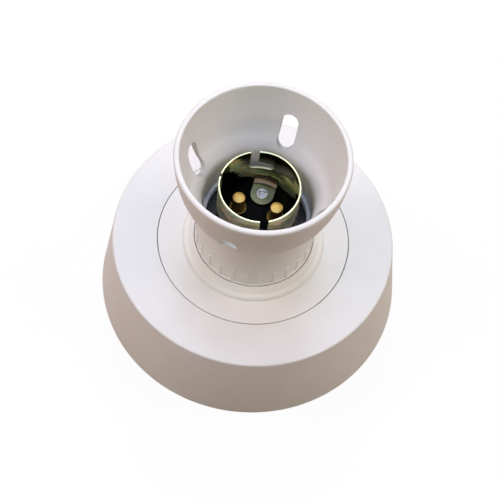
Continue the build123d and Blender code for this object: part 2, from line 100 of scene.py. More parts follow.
def rounded(corners: Sequence[Sequence[float]], pieces: int) -> Outline:
    """Round the corners of a closed outline.

    Args:
        corners: Radius and height of each corner in order, and the fillet of those that have one.
        pieces: Segments of each fillet.

    Returns:
        The points of the outline, with an arc at each corner that has a fillet.
    """
    points: Outline = []
    spots = [Vector(corner[:2]) for corner in corners]
    for index, (corner, here) in enumerate(zip(corners, spots)):
        fillet = corner[2] if len(corner) > 2 else 0
        if fillet <= 0:
            points.append((here.x, here.y))
            continue
        back = (spots[index - 1] - here).normalized()
        ahead = (spots[(index + 1) % len(spots)] - here).normalized()
        half = back.angle(ahead) / 2
        reach = fillet / tan(half)
        centre = here + (back + ahead).normalized() * fillet / sin(half)
        start = here + back * reach - centre
        turn = start.angle_signed(here + ahead * reach - centre)
        for step in range(pieces + 1):
            angle = -turn * step / pieces
            points.append((centre.x + start.x * cos(angle) - start.y * sin(angle),
                           centre.y + start.x * sin(angle) + start.y * cos(angle)))
    return points


def flowing(knots: Sequence[tuple[float, float]], first: tuple[float, float],
            last: tuple[float, float], pieces: int = 10) -> Outline:
    """Run a smooth line through a few knots.

    Args:
        knots: Points on the line, in order.
        first: Direction of the line at its first knot.
        last: Direction of the line at its last knot.
        pieces: Segments between two knots.

    Returns:
        Points along the line, both ends included.
    """
    spots = [Vector(knot) for knot in knots]
    chords = [(b - a).length for a, b in zip(spots, spots[1:])]
    slopes = [Vector(first).normalized()]
    for before, here, after, left, right in zip(spots, spots[1:], spots[2:], chords, chords[1:]):
        ease = (here - before) / left * right + (after - here) / right * left
        slopes.append((ease / (left + right)).normalized())
    slopes.append(Vector(last).normalized())
    line: Outline = [tuple(spots[0])]
    for a, b, da, db, chord in zip(spots, spots[1:], slopes, slopes[1:], chords):
        for step in range(1, pieces + 1):
            t = step / pieces
            spot = (a * (2 * t**3 - 3 * t**2 + 1) + b * (3 * t**2 - 2 * t**3)
                    + da * chord * (t**3 - 2 * t**2 + t) + db * chord * (t**3 - t**2))
            line.append((spot.x, spot.y))
    return line


class Bench:
    """Modelling moves that the pieces share, each made with Blender's own operators."""

    @staticmethod
    def clear() -> None:
        """Leave nothing selected."""
        bpy.ops.object.select_all(action="DESELECT")

    @staticmethod
    def focus(piece: Thing) -> None:
        """Select one piece alone and make it the active one.

        Args:
            piece: The piece to work on.
        """
        Bench.clear()
        piece.select_set(True)
        bpy.context.view_layer.objects.active = piece

    @staticmethod
    @contextmanager
    def editing(action: str = "") -> Iterator[None]:
        """Work in edit mode for a while.

        Args:
            action: What is done to the selection at its start, if anything.

        Yields:
            Nothing.
        """
        bpy.ops.object.mode_set(mode="EDIT")
        if action:
            bpy.ops.mesh.select_all(action=action)
        yield
        bpy.ops.object.mode_set(mode="OBJECT")

    @staticmethod
    def weld() -> None:
        """Merge all the vertices that meet, in edit mode, and select everything."""
        bpy.ops.mesh.select_all(action="SELECT")
        bpy.ops.mesh.remove_doubles(threshold=WELD)
        bpy.ops.mesh.select_all(action="SELECT")

    @staticmethod
    def named(name: str) -> Thing:
        """Name the active piece and its mesh.

        Args:
            name: The piece's name.

        Returns:
            The active piece.
        """
        piece = bpy.context.object
        piece.name = piece.data.name = name
        return piece

    @staticmethod
    def turn(name: str, corners: Sequence[Sequence[float]], steps: int = 192,
             centre: tuple[float, float] = (0.0, 0.0), pieces: int = 5) -> Thing:
        """Turn an outline about a vertical axis.

        Args:
            name: The piece's name.
            corners: The outline's corners, as rounded() takes them. It is closed, unless it
                starts and ends on the axis.
            steps: Segments round the axis.
            centre: Where the axis stands.
            pieces: Segments of each fillet, 0 for an outline without any.

        Returns:
            The turned piece, with its faces outwards.
        """
        middle = Vector((*centre, 0)) * MM
        outline = rounded(corners, pieces) if pieces else corners
        Bench.clear()
        bpy.ops.mesh.primitive_plane_add(size=MM, location=(0, 0, 0))
        piece = Bench.named(name)
        on_axis = outline[0][0] == 0 and outline[-1][0] == 0
        with Bench.editing("SELECT"):
            bpy.ops.mesh.merge(type="CENTER")
            bpy.ops.transform.translate(value=Vector((outline[0][0], 0, outline[0][1])) * MM + middle)
            for here, there in zip(outline, outline[1:] + ([] if on_axis else outline[:1])):
                move = Vector((there[0] - here[0], 0, there[1] - here[1])) * MM
                bpy.ops.mesh.extrude_region_move(TRANSFORM_OT_translate={"value": move})
            Bench.weld()
            bpy.ops.mesh.spin(steps=steps, angle=2 * pi, center=middle, axis=(0, 0, 1))
            Bench.weld()
            bpy.ops.mesh.normals_make_consistent(inside=False)
        return piece

    @staticmethod
    def block(name: str, low: Sequence[float], high: Sequence[float],
              bevel: float = 0.0) -> Thing:
        """Make a block between two corners, with its edges eased.

        Args:
            name: The piece's name.
            low: Lowest corner.
            high: Highest corner.
            bevel: Width of the eased edges.

        Returns:
            The block, with its place in its mesh.
        """
        low_corner, high_corner = Vector(low) * MM, Vector(high) * MM
        Bench.clear()
        bpy.ops.mesh.primitive_cube_add(size=1, location=(0, 0, 0))
        piece = Bench.named(name)
        with Bench.editing("SELECT"):
            bpy.ops.transform.resize(value=high_corner - low_corner)
            bpy.ops.transform.translate(value=(low_corner + high_corner) / 2)
            if bevel:
                bpy.ops.mesh.bevel(offset=bevel * MM, segments=2, affect="EDGES")
        return piece

    @staticmethod
    def bolt(name: str, radius: float, length: float, turned: Euler,
             start: Sequence[float], sides: int = 48) -> Thing:
        """Make a round bar along its own Z from a starting point.

        Args:
            name: The piece's name.
            radius: Radius of the bar.
            length: Length of the bar.
            turned: How the bar's Z is turned.
            start: Centre of the bar's first end.
            sides: Segments round the bar.

        Returns:
            The bar, with its place in its mesh.
        """
        Bench.clear()
        bpy.ops.mesh.primitive_cylinder_add(
            vertices=sides, radius=radius * MM, depth=length * MM, location=(0, 0, 0))
        piece = Bench.named(name)
        shift = Matrix.Translation((0, 0, length * MM / 2))
        piece.matrix_world = Matrix.Translation(Vector(start) * MM) @ turned.to_matrix().to_4x4() @ shift
        Bench.settle(piece)
        return piece

    @staticmethod
    def stretch(piece: Thing, move: Sequence[float], start: Sequence[float]) -> None:
        """Pull the half of a round bar ahead of a point away, which gives it two flat sides.

        Args:
            piece: The bar.
            move: How far the half is pulled.
            start: A point between the two halves.
        """
        way, point = Vector(move), Vector(start) * MM
        Bench.focus(piece)
        with Bench.editing("DESELECT"):
            bpy.ops.mesh.select_mode(type="VERT")
        for vertex in piece.data.vertices:
            vertex.select = (vertex.co - point).dot(way) > -WELD
        with Bench.editing():
            bpy.ops.transform.translate(value=way * MM)

    @staticmethod
    def slot(name: str, width: float, move: Sequence[float], depth: float, angle: float,
             height: float) -> Thing:
        """Make a bar with round ends that points outwards from the axis, to cut a slot with.

        Args:
            name: The piece's name.
            width: Width of the slot.
            move: From the centre of one round end to the other.
            depth: Length of the bar.
            angle: Where it points, in degrees from +X.
            height: Level of the first round end's centre.

        Returns:
            The bar, with its place in its mesh.
        """
        bar = Bench.bolt(name, width / 2, depth, Bench.facing(angle), (0, 0, height))
        Bench.stretch(bar, move, (0, 0, height))
        return bar

    @staticmethod
    def swung(piece: Thing, angle: float) -> Thing:
        """Turn a piece about the holder's axis.

        Args:
            piece: The piece.
            angle: How far, in degrees.

        Returns:
            The same piece.
        """
        piece.rotation_euler = (0, 0, radians(angle))
        Bench.settle(piece)
        return piece

    @staticmethod
    def turned_copy(piece: Thing, name: str, angle: float) -> Thing:
        """Copy a piece with a mesh of its own, turned about the holder's axis.

        Args:
            piece: The piece to copy.
            name: The copy's name.
            angle: How far it is turned, in degrees.

        Returns:
            The copy.
        """
        Bench.focus(piece)
        bpy.ops.object.duplicate(linked=False)
        return Bench.swung(Bench.named(name), angle)

    @staticmethod
    def settle(piece: Thing) -> None:
        """Move a piece's place, turn and scale into its mesh.

        Args:
            piece: The piece to settle.
        """
        Bench.focus(piece)
        bpy.ops.object.transform_apply(location=True, rotation=True, scale=True)

    @staticmethod
    def combine(piece: Thing, other: Thing, how: str) -> None:
        """Cut one piece with another, or join or cross the two.

        Args:
            piece: The piece that stays.
            other: The piece that is used up.
            how: The Boolean modifier's operation.
        """
        Bench.focus(piece)
        cut = piece.modifiers.new("cut", "BOOLEAN")
        cut.operation = how
        cut.solver = "EXACT"
        cut.object = other
        bpy.ops.object.modifier_apply(modifier=cut.name)
        spare = other.data
        bpy.data.objects.remove(other)
        bpy.data.meshes.remove(spare)

    @staticmethod
    def bar(piece: Thing, how: str, radius: float, length: float, start: Sequence[float],
            turned: Euler = UPRIGHT, sides: int = 48) -> None:
        """Combine a piece with a round bar.

        Args:
            piece: The piece.
            how: UNION for a boss, DIFFERENCE for a hole, INTERSECT to trim the piece.
            radius: Radius of the bar.
            length: Length of the bar.
            start: Centre of the bar's first end.
            turned: How the bar's Z is turned.
            sides: Segments round the bar.
        """
        Bench.combine(piece, Bench.bolt("bar", radius, length, turned, start, sides), how)

    @staticmethod
    def join(piece: Thing, others: Sequence[Thing]) -> Thing:
        """Join other meshes into a piece.

        Args:
            piece: The piece that keeps its name.
            others: The meshes that go into it.

        Returns:
            The joined piece.
        """
        Bench.focus(piece)
        for other in others:
            other.select_set(True)
        bpy.ops.object.join()
        return piece

    @staticmethod
    def polish(piece: Thing, angle: float = 32.0) -> None:
        """Shade a piece smoothly, with its edges kept crisp.

        Args:
            piece: The piece to shade.
            angle: Faces that meet at less than this many degrees are shaded as one.
        """
        Bench.focus(piece)
        bpy.ops.object.shade_smooth_by_angle(angle=radians(angle))

    @staticmethod
    def facing(angle: float) -> Euler:
        """Turn that points a bar's Z outwards at an angle round the holder.

        Args:
            angle: Degrees from +X.

        Returns:
            The turn, which leaves the bar's own X pointing down.
        """
        return Euler((0, pi / 2, radians(angle)))


class Wiring:
    """A node tree while its nodes are added and linked."""

    def __init__(self, tree: bpy.types.NodeTree) -> None:
        """Start on an empty tree.

        Args:
            tree: The tree to wire.
        """
        self.tree = tree
        self.tree.nodes.clear()

    def node(self, kind: str, **settings: object) -> bpy.types.Node:
        """Add a node.

        Args:
            kind: Blender's name of the node type.
            settings: Properties to set on it.

        Returns:
            The new node.
        """
        made = self.tree.nodes.new(kind)
        for key, value in settings.items():
            setattr(made, key, value)
        return made

    def link(self, source: Socket, target: Socket) -> None:
        """Link an output to an input.

        Args:
            source: The output socket.
            target: The input socket.
        """
        self.tree.links.new(source, target)

    def mapped(self, vector: Socket, move: Triple = (0, 0, 0), scale: Triple = (1, 1, 1)) -> Socket:
        """Move and scale coordinates.

        Args:
            vector: The coordinates.
            move: What is added to them.
            scale: What they are first multiplied by.

        Returns:
            The mapped coordinates.
        """
        made = self.node("ShaderNodeMapping")
        made.inputs["Location"].default_value = move
        made.inputs["Scale"].default_value = scale
        self.link(vector, made.inputs["Vector"])
        return made.outputs[0]

    def noise(self, vector: Socket, scale: float, detail: float, rough: float) -> Socket:
        """Add a noise pattern.

        Args:
            vector: The coordinates that it reads.
            scale: Its scale, per metre.
            detail: Its detail.
            rough: Its roughness.

        Returns:
            The noise's factor output.
        """
        made = self.node("ShaderNodeTexNoise")
        for name, number in (("Scale", scale), ("Detail", detail), ("Roughness", rough)):
            made.inputs[name].default_value = number
        self.link(vector, made.inputs["Vector"])
        return made.outputs["Fac"]

    def spread(self, value: Socket, low: float, high: float,
               to_low: float = 0.0, to_high: float = 1.0) -> Socket:
        """Stretch a value from one range to another.

        Args:
            value: The value to stretch.
            low: Value that becomes to_low.
            high: Value that becomes to_high.
            to_low: Low end of the result.
            to_high: High end of the result.

        Returns:
            The stretched value.
        """
        made = self.node("ShaderNodeMapRange", interpolation_type="SMOOTHSTEP")
        for name, number in (("From Min", low), ("From Max", high),
                             ("To Min", to_low), ("To Max", to_high)):
            made.inputs[name].default_value = number
        self.link(value, made.inputs["Value"])
        return made.outputs["Result"]

    def blend(self, mask: Socket, first: object, second: object) -> Socket:
        """Mix two colours by a mask.

        Args:
            mask: Share of the second colour.
            first: The first colour, as a socket or as red, green and blue.
            second: The second colour, likewise.

        Returns:
            The mixed colour.
        """
        made = self.node("ShaderNodeMix", data_type="RGBA")
        self.link(mask, made.inputs["Factor"])
        for name, colour in (("A", first), ("B", second)):
            socket = next(s for s in made.inputs if s.name == name and s.type == "RGBA")
            if isinstance(colour, Socket):
                self.link(colour, socket)
            else:
                socket.default_value = (*colour, 1.0)
        return next(s for s in made.outputs if s.type == "RGBA")

    def maths(self, operation: str, first: Socket, second: object) -> Socket:
        """Combine two values.

        Args:
            operation: The Math node's operation.
            first: The first value.
            second: The second value, a socket or a number.

        Returns:
            The result.
        """
        made = self.node("ShaderNodeMath", operation=operation)
        self.link(first, made.inputs[0])
        if isinstance(second, Socket):
            self.link(second, made.inputs[1])
        else:
            made.inputs[1].default_value = second
        return made.outputs[0]


class Effect(Enum):
    """Surface effects that several finishes share, each a node group built once."""

    GRAIN = "moulding_grain"
    STREAKS = "rolled_streaks"
    RINGS = "turning_rings"


class Effects:
    """Builds the shared node groups and places them in materials."""

    OUTPUTS = ("Height", "Tone", "Gloss")

    @classmethod
    def group(cls, effect: Effect) -> bpy.types.NodeTree:
        """Give the node group of an effect, built at its first use.

        Args:
            effect: The effect.

        Returns:
            Its node group.
        """
        found = bpy.data.node_groups.get(effect.value)
        if found:
            return found
        tree = bpy.data.node_groups.new(effect.value, "ShaderNodeTree")
        tree.interface.new_socket(name="Vector", in_out="INPUT", socket_type="NodeSocketVector")
        for name in cls.OUTPUTS:
            tree.interface.new_socket(name=name, in_out="OUTPUT", socket_type="NodeSocketFloat")
        wiring = Wiring(tree)
        source = wiring.node("NodeGroupInput")
        result = wiring.node("NodeGroupOutput")
        wire: dict[Effect, Callable[[Wiring, Socket], Sequence[Socket]]] = {
            Effect.GRAIN: cls.grain, Effect.STREAKS: cls.streaks, Effect.RINGS: cls.rings}
        for name, socket in zip(cls.OUTPUTS, wire[effect](wiring, source.outputs["Vector"])):
            wiring.link(socket, result.inputs[name])
        return tree

    @staticmethod
    def grain(wiring: Wiring, place: Socket) -> Sequence[Socket]:
        """Wire the fine grain, cloudy tone and uneven gloss of a moulding.

        Args:
            wiring: The group's wiring.
            place: The coordinates.

        Returns:
            Its height, tone and gloss.
        """
        cloud = wiring.noise(place, scale=95, detail=3, rough=0.5)
        wear = wiring.noise(place, scale=420, detail=4, rough=0.6)
        return (wiring.noise(place, scale=2600, detail=3, rough=0.55),
                wiring.spread(cloud, low=0.32, high=0.68),
                wiring.spread(wear, low=0.3, high=0.7))

    @staticmethod
    def streaks(wiring: Wiring, place: Socket) -> Sequence[Socket]:
        """Wire the drawn lines, cloudy tint and smudges of rolled sheet.

        Args:
            wiring: The group's wiring.
            place: The coordinates.

        Returns:
            Its height, tone and gloss.
        """
        drawn = wiring.mapped(place, scale=(0.05, 0.05, 1.0))
        rolled = wiring.mapped(place, move=(0.013, 0.004, 0.0), scale=(0.5, 0.5, 1.6))
        cloud = wiring.noise(rolled, scale=210, detail=3, rough=0.55)
        smudge = wiring.noise(rolled, scale=340, detail=3, rough=0.6)
        return (wiring.noise(drawn, scale=3200, detail=3, rough=0.65),
                wiring.spread(cloud, low=0.36, high=0.64),
                wiring.spread(smudge, low=0.35, high=0.7))

    @staticmethod
    def rings(wiring: Wiring, place: Socket) -> Sequence[Socket]:
        """Wire the tool rings of a turned piece, about the Z of the coordinates it is given.

        Args:
            wiring: The group's wiring.
            place: The coordinates.

        Returns:
            Its height, tone and gloss.
        """
        rings = wiring.node("ShaderNodeTexWave", wave_type="RINGS", rings_direction="Z")
        for name, number in (("Scale", 1500), ("Distortion", 1.5), ("Detail", 2)):
            rings.inputs[name].default_value = number
        wiring.link(place, rings.inputs["Vector"])
        cloud = wiring.noise(place, scale=500, detail=3, rough=0.55)
        wear = wiring.noise(place, scale=1400, detail=3, rough=0.6)
        return (rings.outputs["Fac"],
                wiring.spread(cloud, low=0.35, high=0.65),
                wiring.spread(wear, low=0.35, high=0.7))


@dataclass(frozen=True)
class PaintedLightBand:
    """A painted lit band on a sheet, between two parallel planes, with painted dark reflection on both
    sides.

    Attributes:
        slope: Direction across the band.
        low: Where the band starts along that direction.
        high: Where it ends.
        soft: Width of its edges.
        waver: How far its edges stray.
        dark: Colour of the painted dark reflection outside the band.
        sheen: Roughness of the painted dark reflection outside the band, as a share of the band's.
    """

    slope: Triple
    low: float
    high: float
    soft: float
    waver: float
    dark: Triple
    sheen: float

    def mask(self, wiring: Wiring, place: Socket, tone: Socket) -> Socket:
        """Add the band's mask.

        Args:
            wiring: The node tree to add it to.
            place: The Object coordinates.
            tone: A cloudy value that makes the edges stray.

        Returns:
            1 inside the band, 0 outside it.
        """
        along = wiring.node("ShaderNodeVectorMath", operation="DOT_PRODUCT")
        wiring.link(place, along.inputs[0])
        along.inputs[1].default_value = self.slope
        stray = wiring.maths("MULTIPLY", tone, self.waver * MM)
        level = wiring.maths("ADD", along.outputs["Value"], stray)
        rise = wiring.spread(level, self.low * MM, (self.low + self.soft) * MM)
        fall = wiring.spread(level, (self.high - self.soft) * MM, self.high * MM, 1.0, 0.0)
        return wiring.maths("MULTIPLY", rise, fall)


@dataclass(frozen=True)
class Finish:
    """A finish of one of the holder's materials.

    Attributes:
        name: The material's name.
        effect: The shared effect that it uses.
        colour: Its main colour, in linear red, green and blue.
        cloud: The colour of its cloudier patches.
        polish: Roughness where it is glossiest.
        haze: Roughness where it is dullest.
        metallic: 1 for a metal.
        relief: Height of its grain.
        axis: The point that the effect is centred on.
        tint: A further colour that shows in small patches.
        tint_share: How strongly that colour shows.
        ior: Index of refraction of a finish that isn't metal.
        band: A painted lit band with painted dark reflection outside it, if the finish has one.
    """

    name: str
    effect: Effect
    colour: Triple
    cloud: Triple
    polish: float
    haze: float
    metallic: float = 0.0
    relief: float = 0.004
    axis: Triple = (0.0, 0.0, 0.0)
    tint: Triple = (0.5, 0.5, 0.5)
    tint_share: float = 0.0
    ior: float = 1.5
    band: PaintedLightBand | None = None

    def material(self) -> bpy.types.Material:
        """Give the finish's material, built at its first use.

        Returns:
            The material, wired on Object coordinates.
        """
        found = bpy.data.materials.get(self.name)
        if found:
            return found
        material = bpy.data.materials.new(self.name)
        material.use_nodes = True
        wiring = Wiring(material.node_tree)
        output = wiring.node("ShaderNodeOutputMaterial")
        surface = wiring.node("ShaderNodeBsdfPrincipled")
        surface.inputs["Metallic"].default_value = self.metallic
        surface.inputs["IOR"].default_value = self.ior
        wiring.link(surface.outputs["BSDF"], output.inputs["Surface"])
        place = wiring.node("ShaderNodeTexCoord")
        effect = wiring.node("ShaderNodeGroup")
        effect.node_tree = Effects.group(self.effect)
        centred = wiring.mapped(place.outputs["Object"], -Vector(self.axis) * MM)
        wiring.link(centred, effect.inputs["Vector"])
        clouded = wiring.blend(effect.outputs["Tone"], self.colour, self.cloud)
        patches = wiring.spread(effect.outputs["Gloss"], TINT_START, 1.0, 0.0, self.tint_share)
        shown = wiring.blend(patches, clouded, self.tint)
        rough = wiring.spread(effect.outputs["Gloss"], 0, 1, self.polish, self.haze)
        # Painted light: inside the band the finish's own colour stays as a painted lit band; outside it
        # goes to painted dark reflection, and glossier.
        if self.band:
            inside = self.band.mask(wiring, place.outputs["Object"], effect.outputs["Tone"])
            shown = wiring.blend(inside, self.band.dark, shown)
            rough = wiring.maths("MULTIPLY", rough, wiring.spread(inside, 0, 1, self.band.sheen, 1.0))
        wiring.link(shown, surface.inputs["Base Color"])
        wiring.link(rough, surface.inputs["Roughness"])
        bump = wiring.node("ShaderNodeBump")
        bump.inputs["Distance"].default_value = self.relief * MM
        wiring.link(effect.outputs["Height"], bump.inputs["Height"])
        wiring.link(bump.outputs["Normal"], surface.inputs["Normal"])
        return material


WHITE = Finish("white_moulding", Effect.GRAIN, (0.79, 0.785, 0.79), (0.77, 0.76, 0.765),
               polish=0.46, haze=0.58, relief=0.003)
# Walls of the skirt's vents: the moulding painted darker, as painted shade.
VENT_SHADE_WHITE = replace(WHITE, name="vent_painted_shade", colour=(0.52, 0.51, 0.50), cloud=(0.50, 0.49, 0.48),
                    polish=0.5, haze=0.6)
# Near black and almost without reflection: on the insulator's floor face this is painted shade.
BLACK = Finish("black_moulding", Effect.GRAIN, (0.0016, 0.0016, 0.0018), (0.003, 0.0028, 0.003),
               polish=0.12, haze=0.28, relief=0.002, ior=1.07)
GLOSS_BLACK = replace(BLACK, name="glossy_black_moulding", colour=(0.014, 0.017, 0.018),
                      cloud=(0.022, 0.026, 0.027), ior=1.55)
SHEET = Finish("passivated_sheet", Effect.STREAKS, (0.66, 0.60, 0.26), (0.42, 0.44, 0.30),
               polish=0.24, haze=0.38, metallic=1.0, relief=0.0012,
               tint=(0.90, 0.58, 0.50), tint_share=0.9)
# Inner wall of the sleeve: brighter olive than the outer wall as a painted lit band slanting across the
# back wall, with painted dark reflection above and below it.
INNER_SHEET = replace(SHEET, name="inner_sheet", colour=(0.82, 0.86, 0.34), cloud=(0.44, 0.66, 0.50),
                      tint=(0.72, 0.50, 0.26), polish=0.42, haze=0.58,
                      band=PaintedLightBand(slope=(0.111, 0.9, 0.48), low=28.6, high=33.2, soft=1.4, waver=1.4,
                                dark=(0.05, 0.05, 0.028), sheen=0.35))
# Tabs and the cut edges near the floor: the sheet painted darker, as painted shade.
TAB_SHEET = replace(SHEET, name="tab_painted_shade", colour=(0.24, 0.25, 0.14), cloud=(0.19, 0.22, 0.15),
                    tint=(0.29, 0.22, 0.16), polish=0.3, haze=0.42)
# Folds: the sheet painted a dark pinkish tone, as the painted highlight line along each bend.
FOLD_SHEET = replace(TAB_SHEET, name="folded_sheet", colour=(0.15, 0.095, 0.055),
                     cloud=(0.11, 0.08, 0.045), tint=(0.20, 0.10, 0.06))
CUT_SHEET = replace(SHEET, name="cut_sheet", colour=(0.70, 0.73, 0.45), cloud=(0.62, 0.65, 0.41),
                    tint=(0.64, 0.62, 0.42), polish=0.34, haze=0.42)
BRASS = Finish("turned_brass", Effect.RINGS, (0.52, 0.34, 0.098), (0.48, 0.31, 0.09),
               polish=0.44, haze=0.5, metallic=1.0, relief=0.0003)
# Brass of the pillars, painted darker as painted shade.
SHADED_BRASS = replace(BRASS, name="painted_shade_brass", colour=(0.15, 0.098, 0.032), cloud=(0.10, 0.066, 0.022),
                     polish=0.3, haze=0.42, relief=0.001)
STEEL = Finish("bright_steel", Effect.RINGS, (0.74, 0.73, 0.72), (0.66, 0.65, 0.64),
               polish=0.3, haze=0.38, metallic=1.0, relief=0.0002)


@dataclass(frozen=True)
class Twin:
    """A second piece of the same kind, half a turn further round the holder.

    Attributes:
        name: Name of the CAD node that it takes the place of.
        body: The body that it moves with.
        finish: Its finish.
    """

    name: str
    body: Body
    finish: Finish


@dataclass
class Piece:
    """One physical piece of the holder.

    Attributes:
        name: Name of the CAD node that it takes the place of.
        body: The body that it moves with.
        slot: The record's material slot.
        finish: Its finish.
        twin: The second piece of its kind, if there is one.
    """

    name: str
    body: Body
    slot: Slot
    finish: Finish
    twin: Twin | None = None

    def shape(self) -> Thing:
        """Model the piece.

        Returns:
            The modelled piece, with its place in its mesh.

        Raises:
            NotImplementedError: If the kind of piece has no model of its own.
        """
        raise NotImplementedError(self.name)

    def add(self) -> list[Thing]:
        """Model the piece and its twin, and fasten them to the frame.

        Returns:
            The finished pieces.
        """
        made = self.shape()
        Bench.polish(made)
        if self.twin is None:
            return [self.fit_out(made, self)]
        second = Bench.turned_copy(made, self.twin.name, 180)
        return [self.fit_out(made, self), self.fit_out(second, self.twin)]

    def fit_out(self, made: Thing, part: "Piece | Twin") -> Thing:
        """Give a modelled piece its finish and fasten it to the frame.

        Args:
            made: The model.
            part: This piece or its twin, with the CAD node, body and finish of the model.

        Returns:
            The same model.
        """
        node, body, slot = part.name, part.body, self.slot
        made.name = made.data.name = node.capitalize()
        made.data.materials.clear()
        made.data.materials.append(part.finish.material())
        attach(made, body.value)
        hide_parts(node)
        LOG.info("%s: %d faces, rides on %s", made.name, len(made.data.polygons), body.value)
        return made


@dataclass
class BaseCover(Piece):
    """The shallow cone on the ceiling, with a ledge under its opening.

    Attributes:
        foot_radius: Radius at the ceiling.
        top_radius: Radius at the top.
        height: Height of the cone.
        wall: Thickness of the cone and the top.
        opening: Radius of the opening for the disc.
        ledge: Radius inside the ledge that the disc lies on.
        disc_level: Level of the underside of the disc.
        ledge_level: Level of the underside of the ledge.
        shoulder: Radius of the step behind the ledge.
    """

    foot_radius: float = 45.25
    top_radius: float = 41.8
    height: float = 26.25
    wall: float = 2.2
    opening: float = 28.65
    ledge: float = 26.65
    disc_level: float = 23.65
    ledge_level: float = 21.65
    shoulder: float = 30.85

    def shape(self) -> Thing:
        """Turn the cover from its section.

        Returns:
            The cover.
        """
        slope = (self.foot_radius - self.top_radius) / self.height
        inside = self.foot_radius - self.wall
        return Bench.turn(self.name, [
            (self.foot_radius, 0, 0.25),
            (self.top_radius, self.height, 0.7),
            (self.opening, self.height, 0.12),
            (self.opening, self.disc_level),
            (self.ledge, self.disc_level, 0.2),
            (self.ledge, self.ledge_level, 0.2),
            (self.shoulder, self.ledge_level, 0.3),
            (self.shoulder, self.disc_level),
            (inside - slope * self.disc_level, self.disc_level, 0.6),
            (inside, 0, 0.2),
        ], steps=256)


@dataclass
class CoverDisc(Piece):
    """The disc let into the cover, with the collar round the skirt's foot.

    Attributes:
        radius: Radius of the disc.
        underside: Level of the disc's underside.
        face: Level of the disc's face.
        bore: Radius of the hole for the neck.
        shelf: Level of the shelf that the skirt stands over.
        collar_bore: Radius inside the collar.
        collar_top: Level of the collar's top.
        land: Width of the flat at the collar's top.
        foot: Radius of the collar's foot.
        round_width: Width of the collar's rounded shoulder.
        round_height: Height of the collar's rounded shoulder.
    """

    radius: float = 28.4
    underside: float = 23.65
    face: float = 26.25
    bore: float = 16.17
    shelf: float = 27.0
    collar_bore: float = 17.8
    collar_top: float = 29.2
    land: float = 0.35
    foot: float = 21.2
    round_width: float = 1.6
    round_height: float = 1.45

    def shape(self) -> Thing:
        """Turn the disc and its collar from their section.

        Returns:
            The disc.
        """
        shoulder = self.foot - self.round_width
        steps = 10
        angles = [pi / 2 * step / steps for step in range(steps + 1)]
        curve = [
            (shoulder + self.round_width * sin(angle), self.face + self.round_height * cos(angle))
            for angle in angles
        ]
        return Bench.turn(self.name, [
            *curve,
            (self.radius, self.face, 0.12),
            (self.radius, self.underside, 0.1),
            (self.bore, self.underside, 0.1),
            (self.bore, self.shelf, 0.1),
            (self.collar_bore, self.shelf),
            (self.collar_bore, self.collar_top, 0.12),
            (self.collar_bore + self.land, self.collar_top, 0.12),
        ], steps=256)


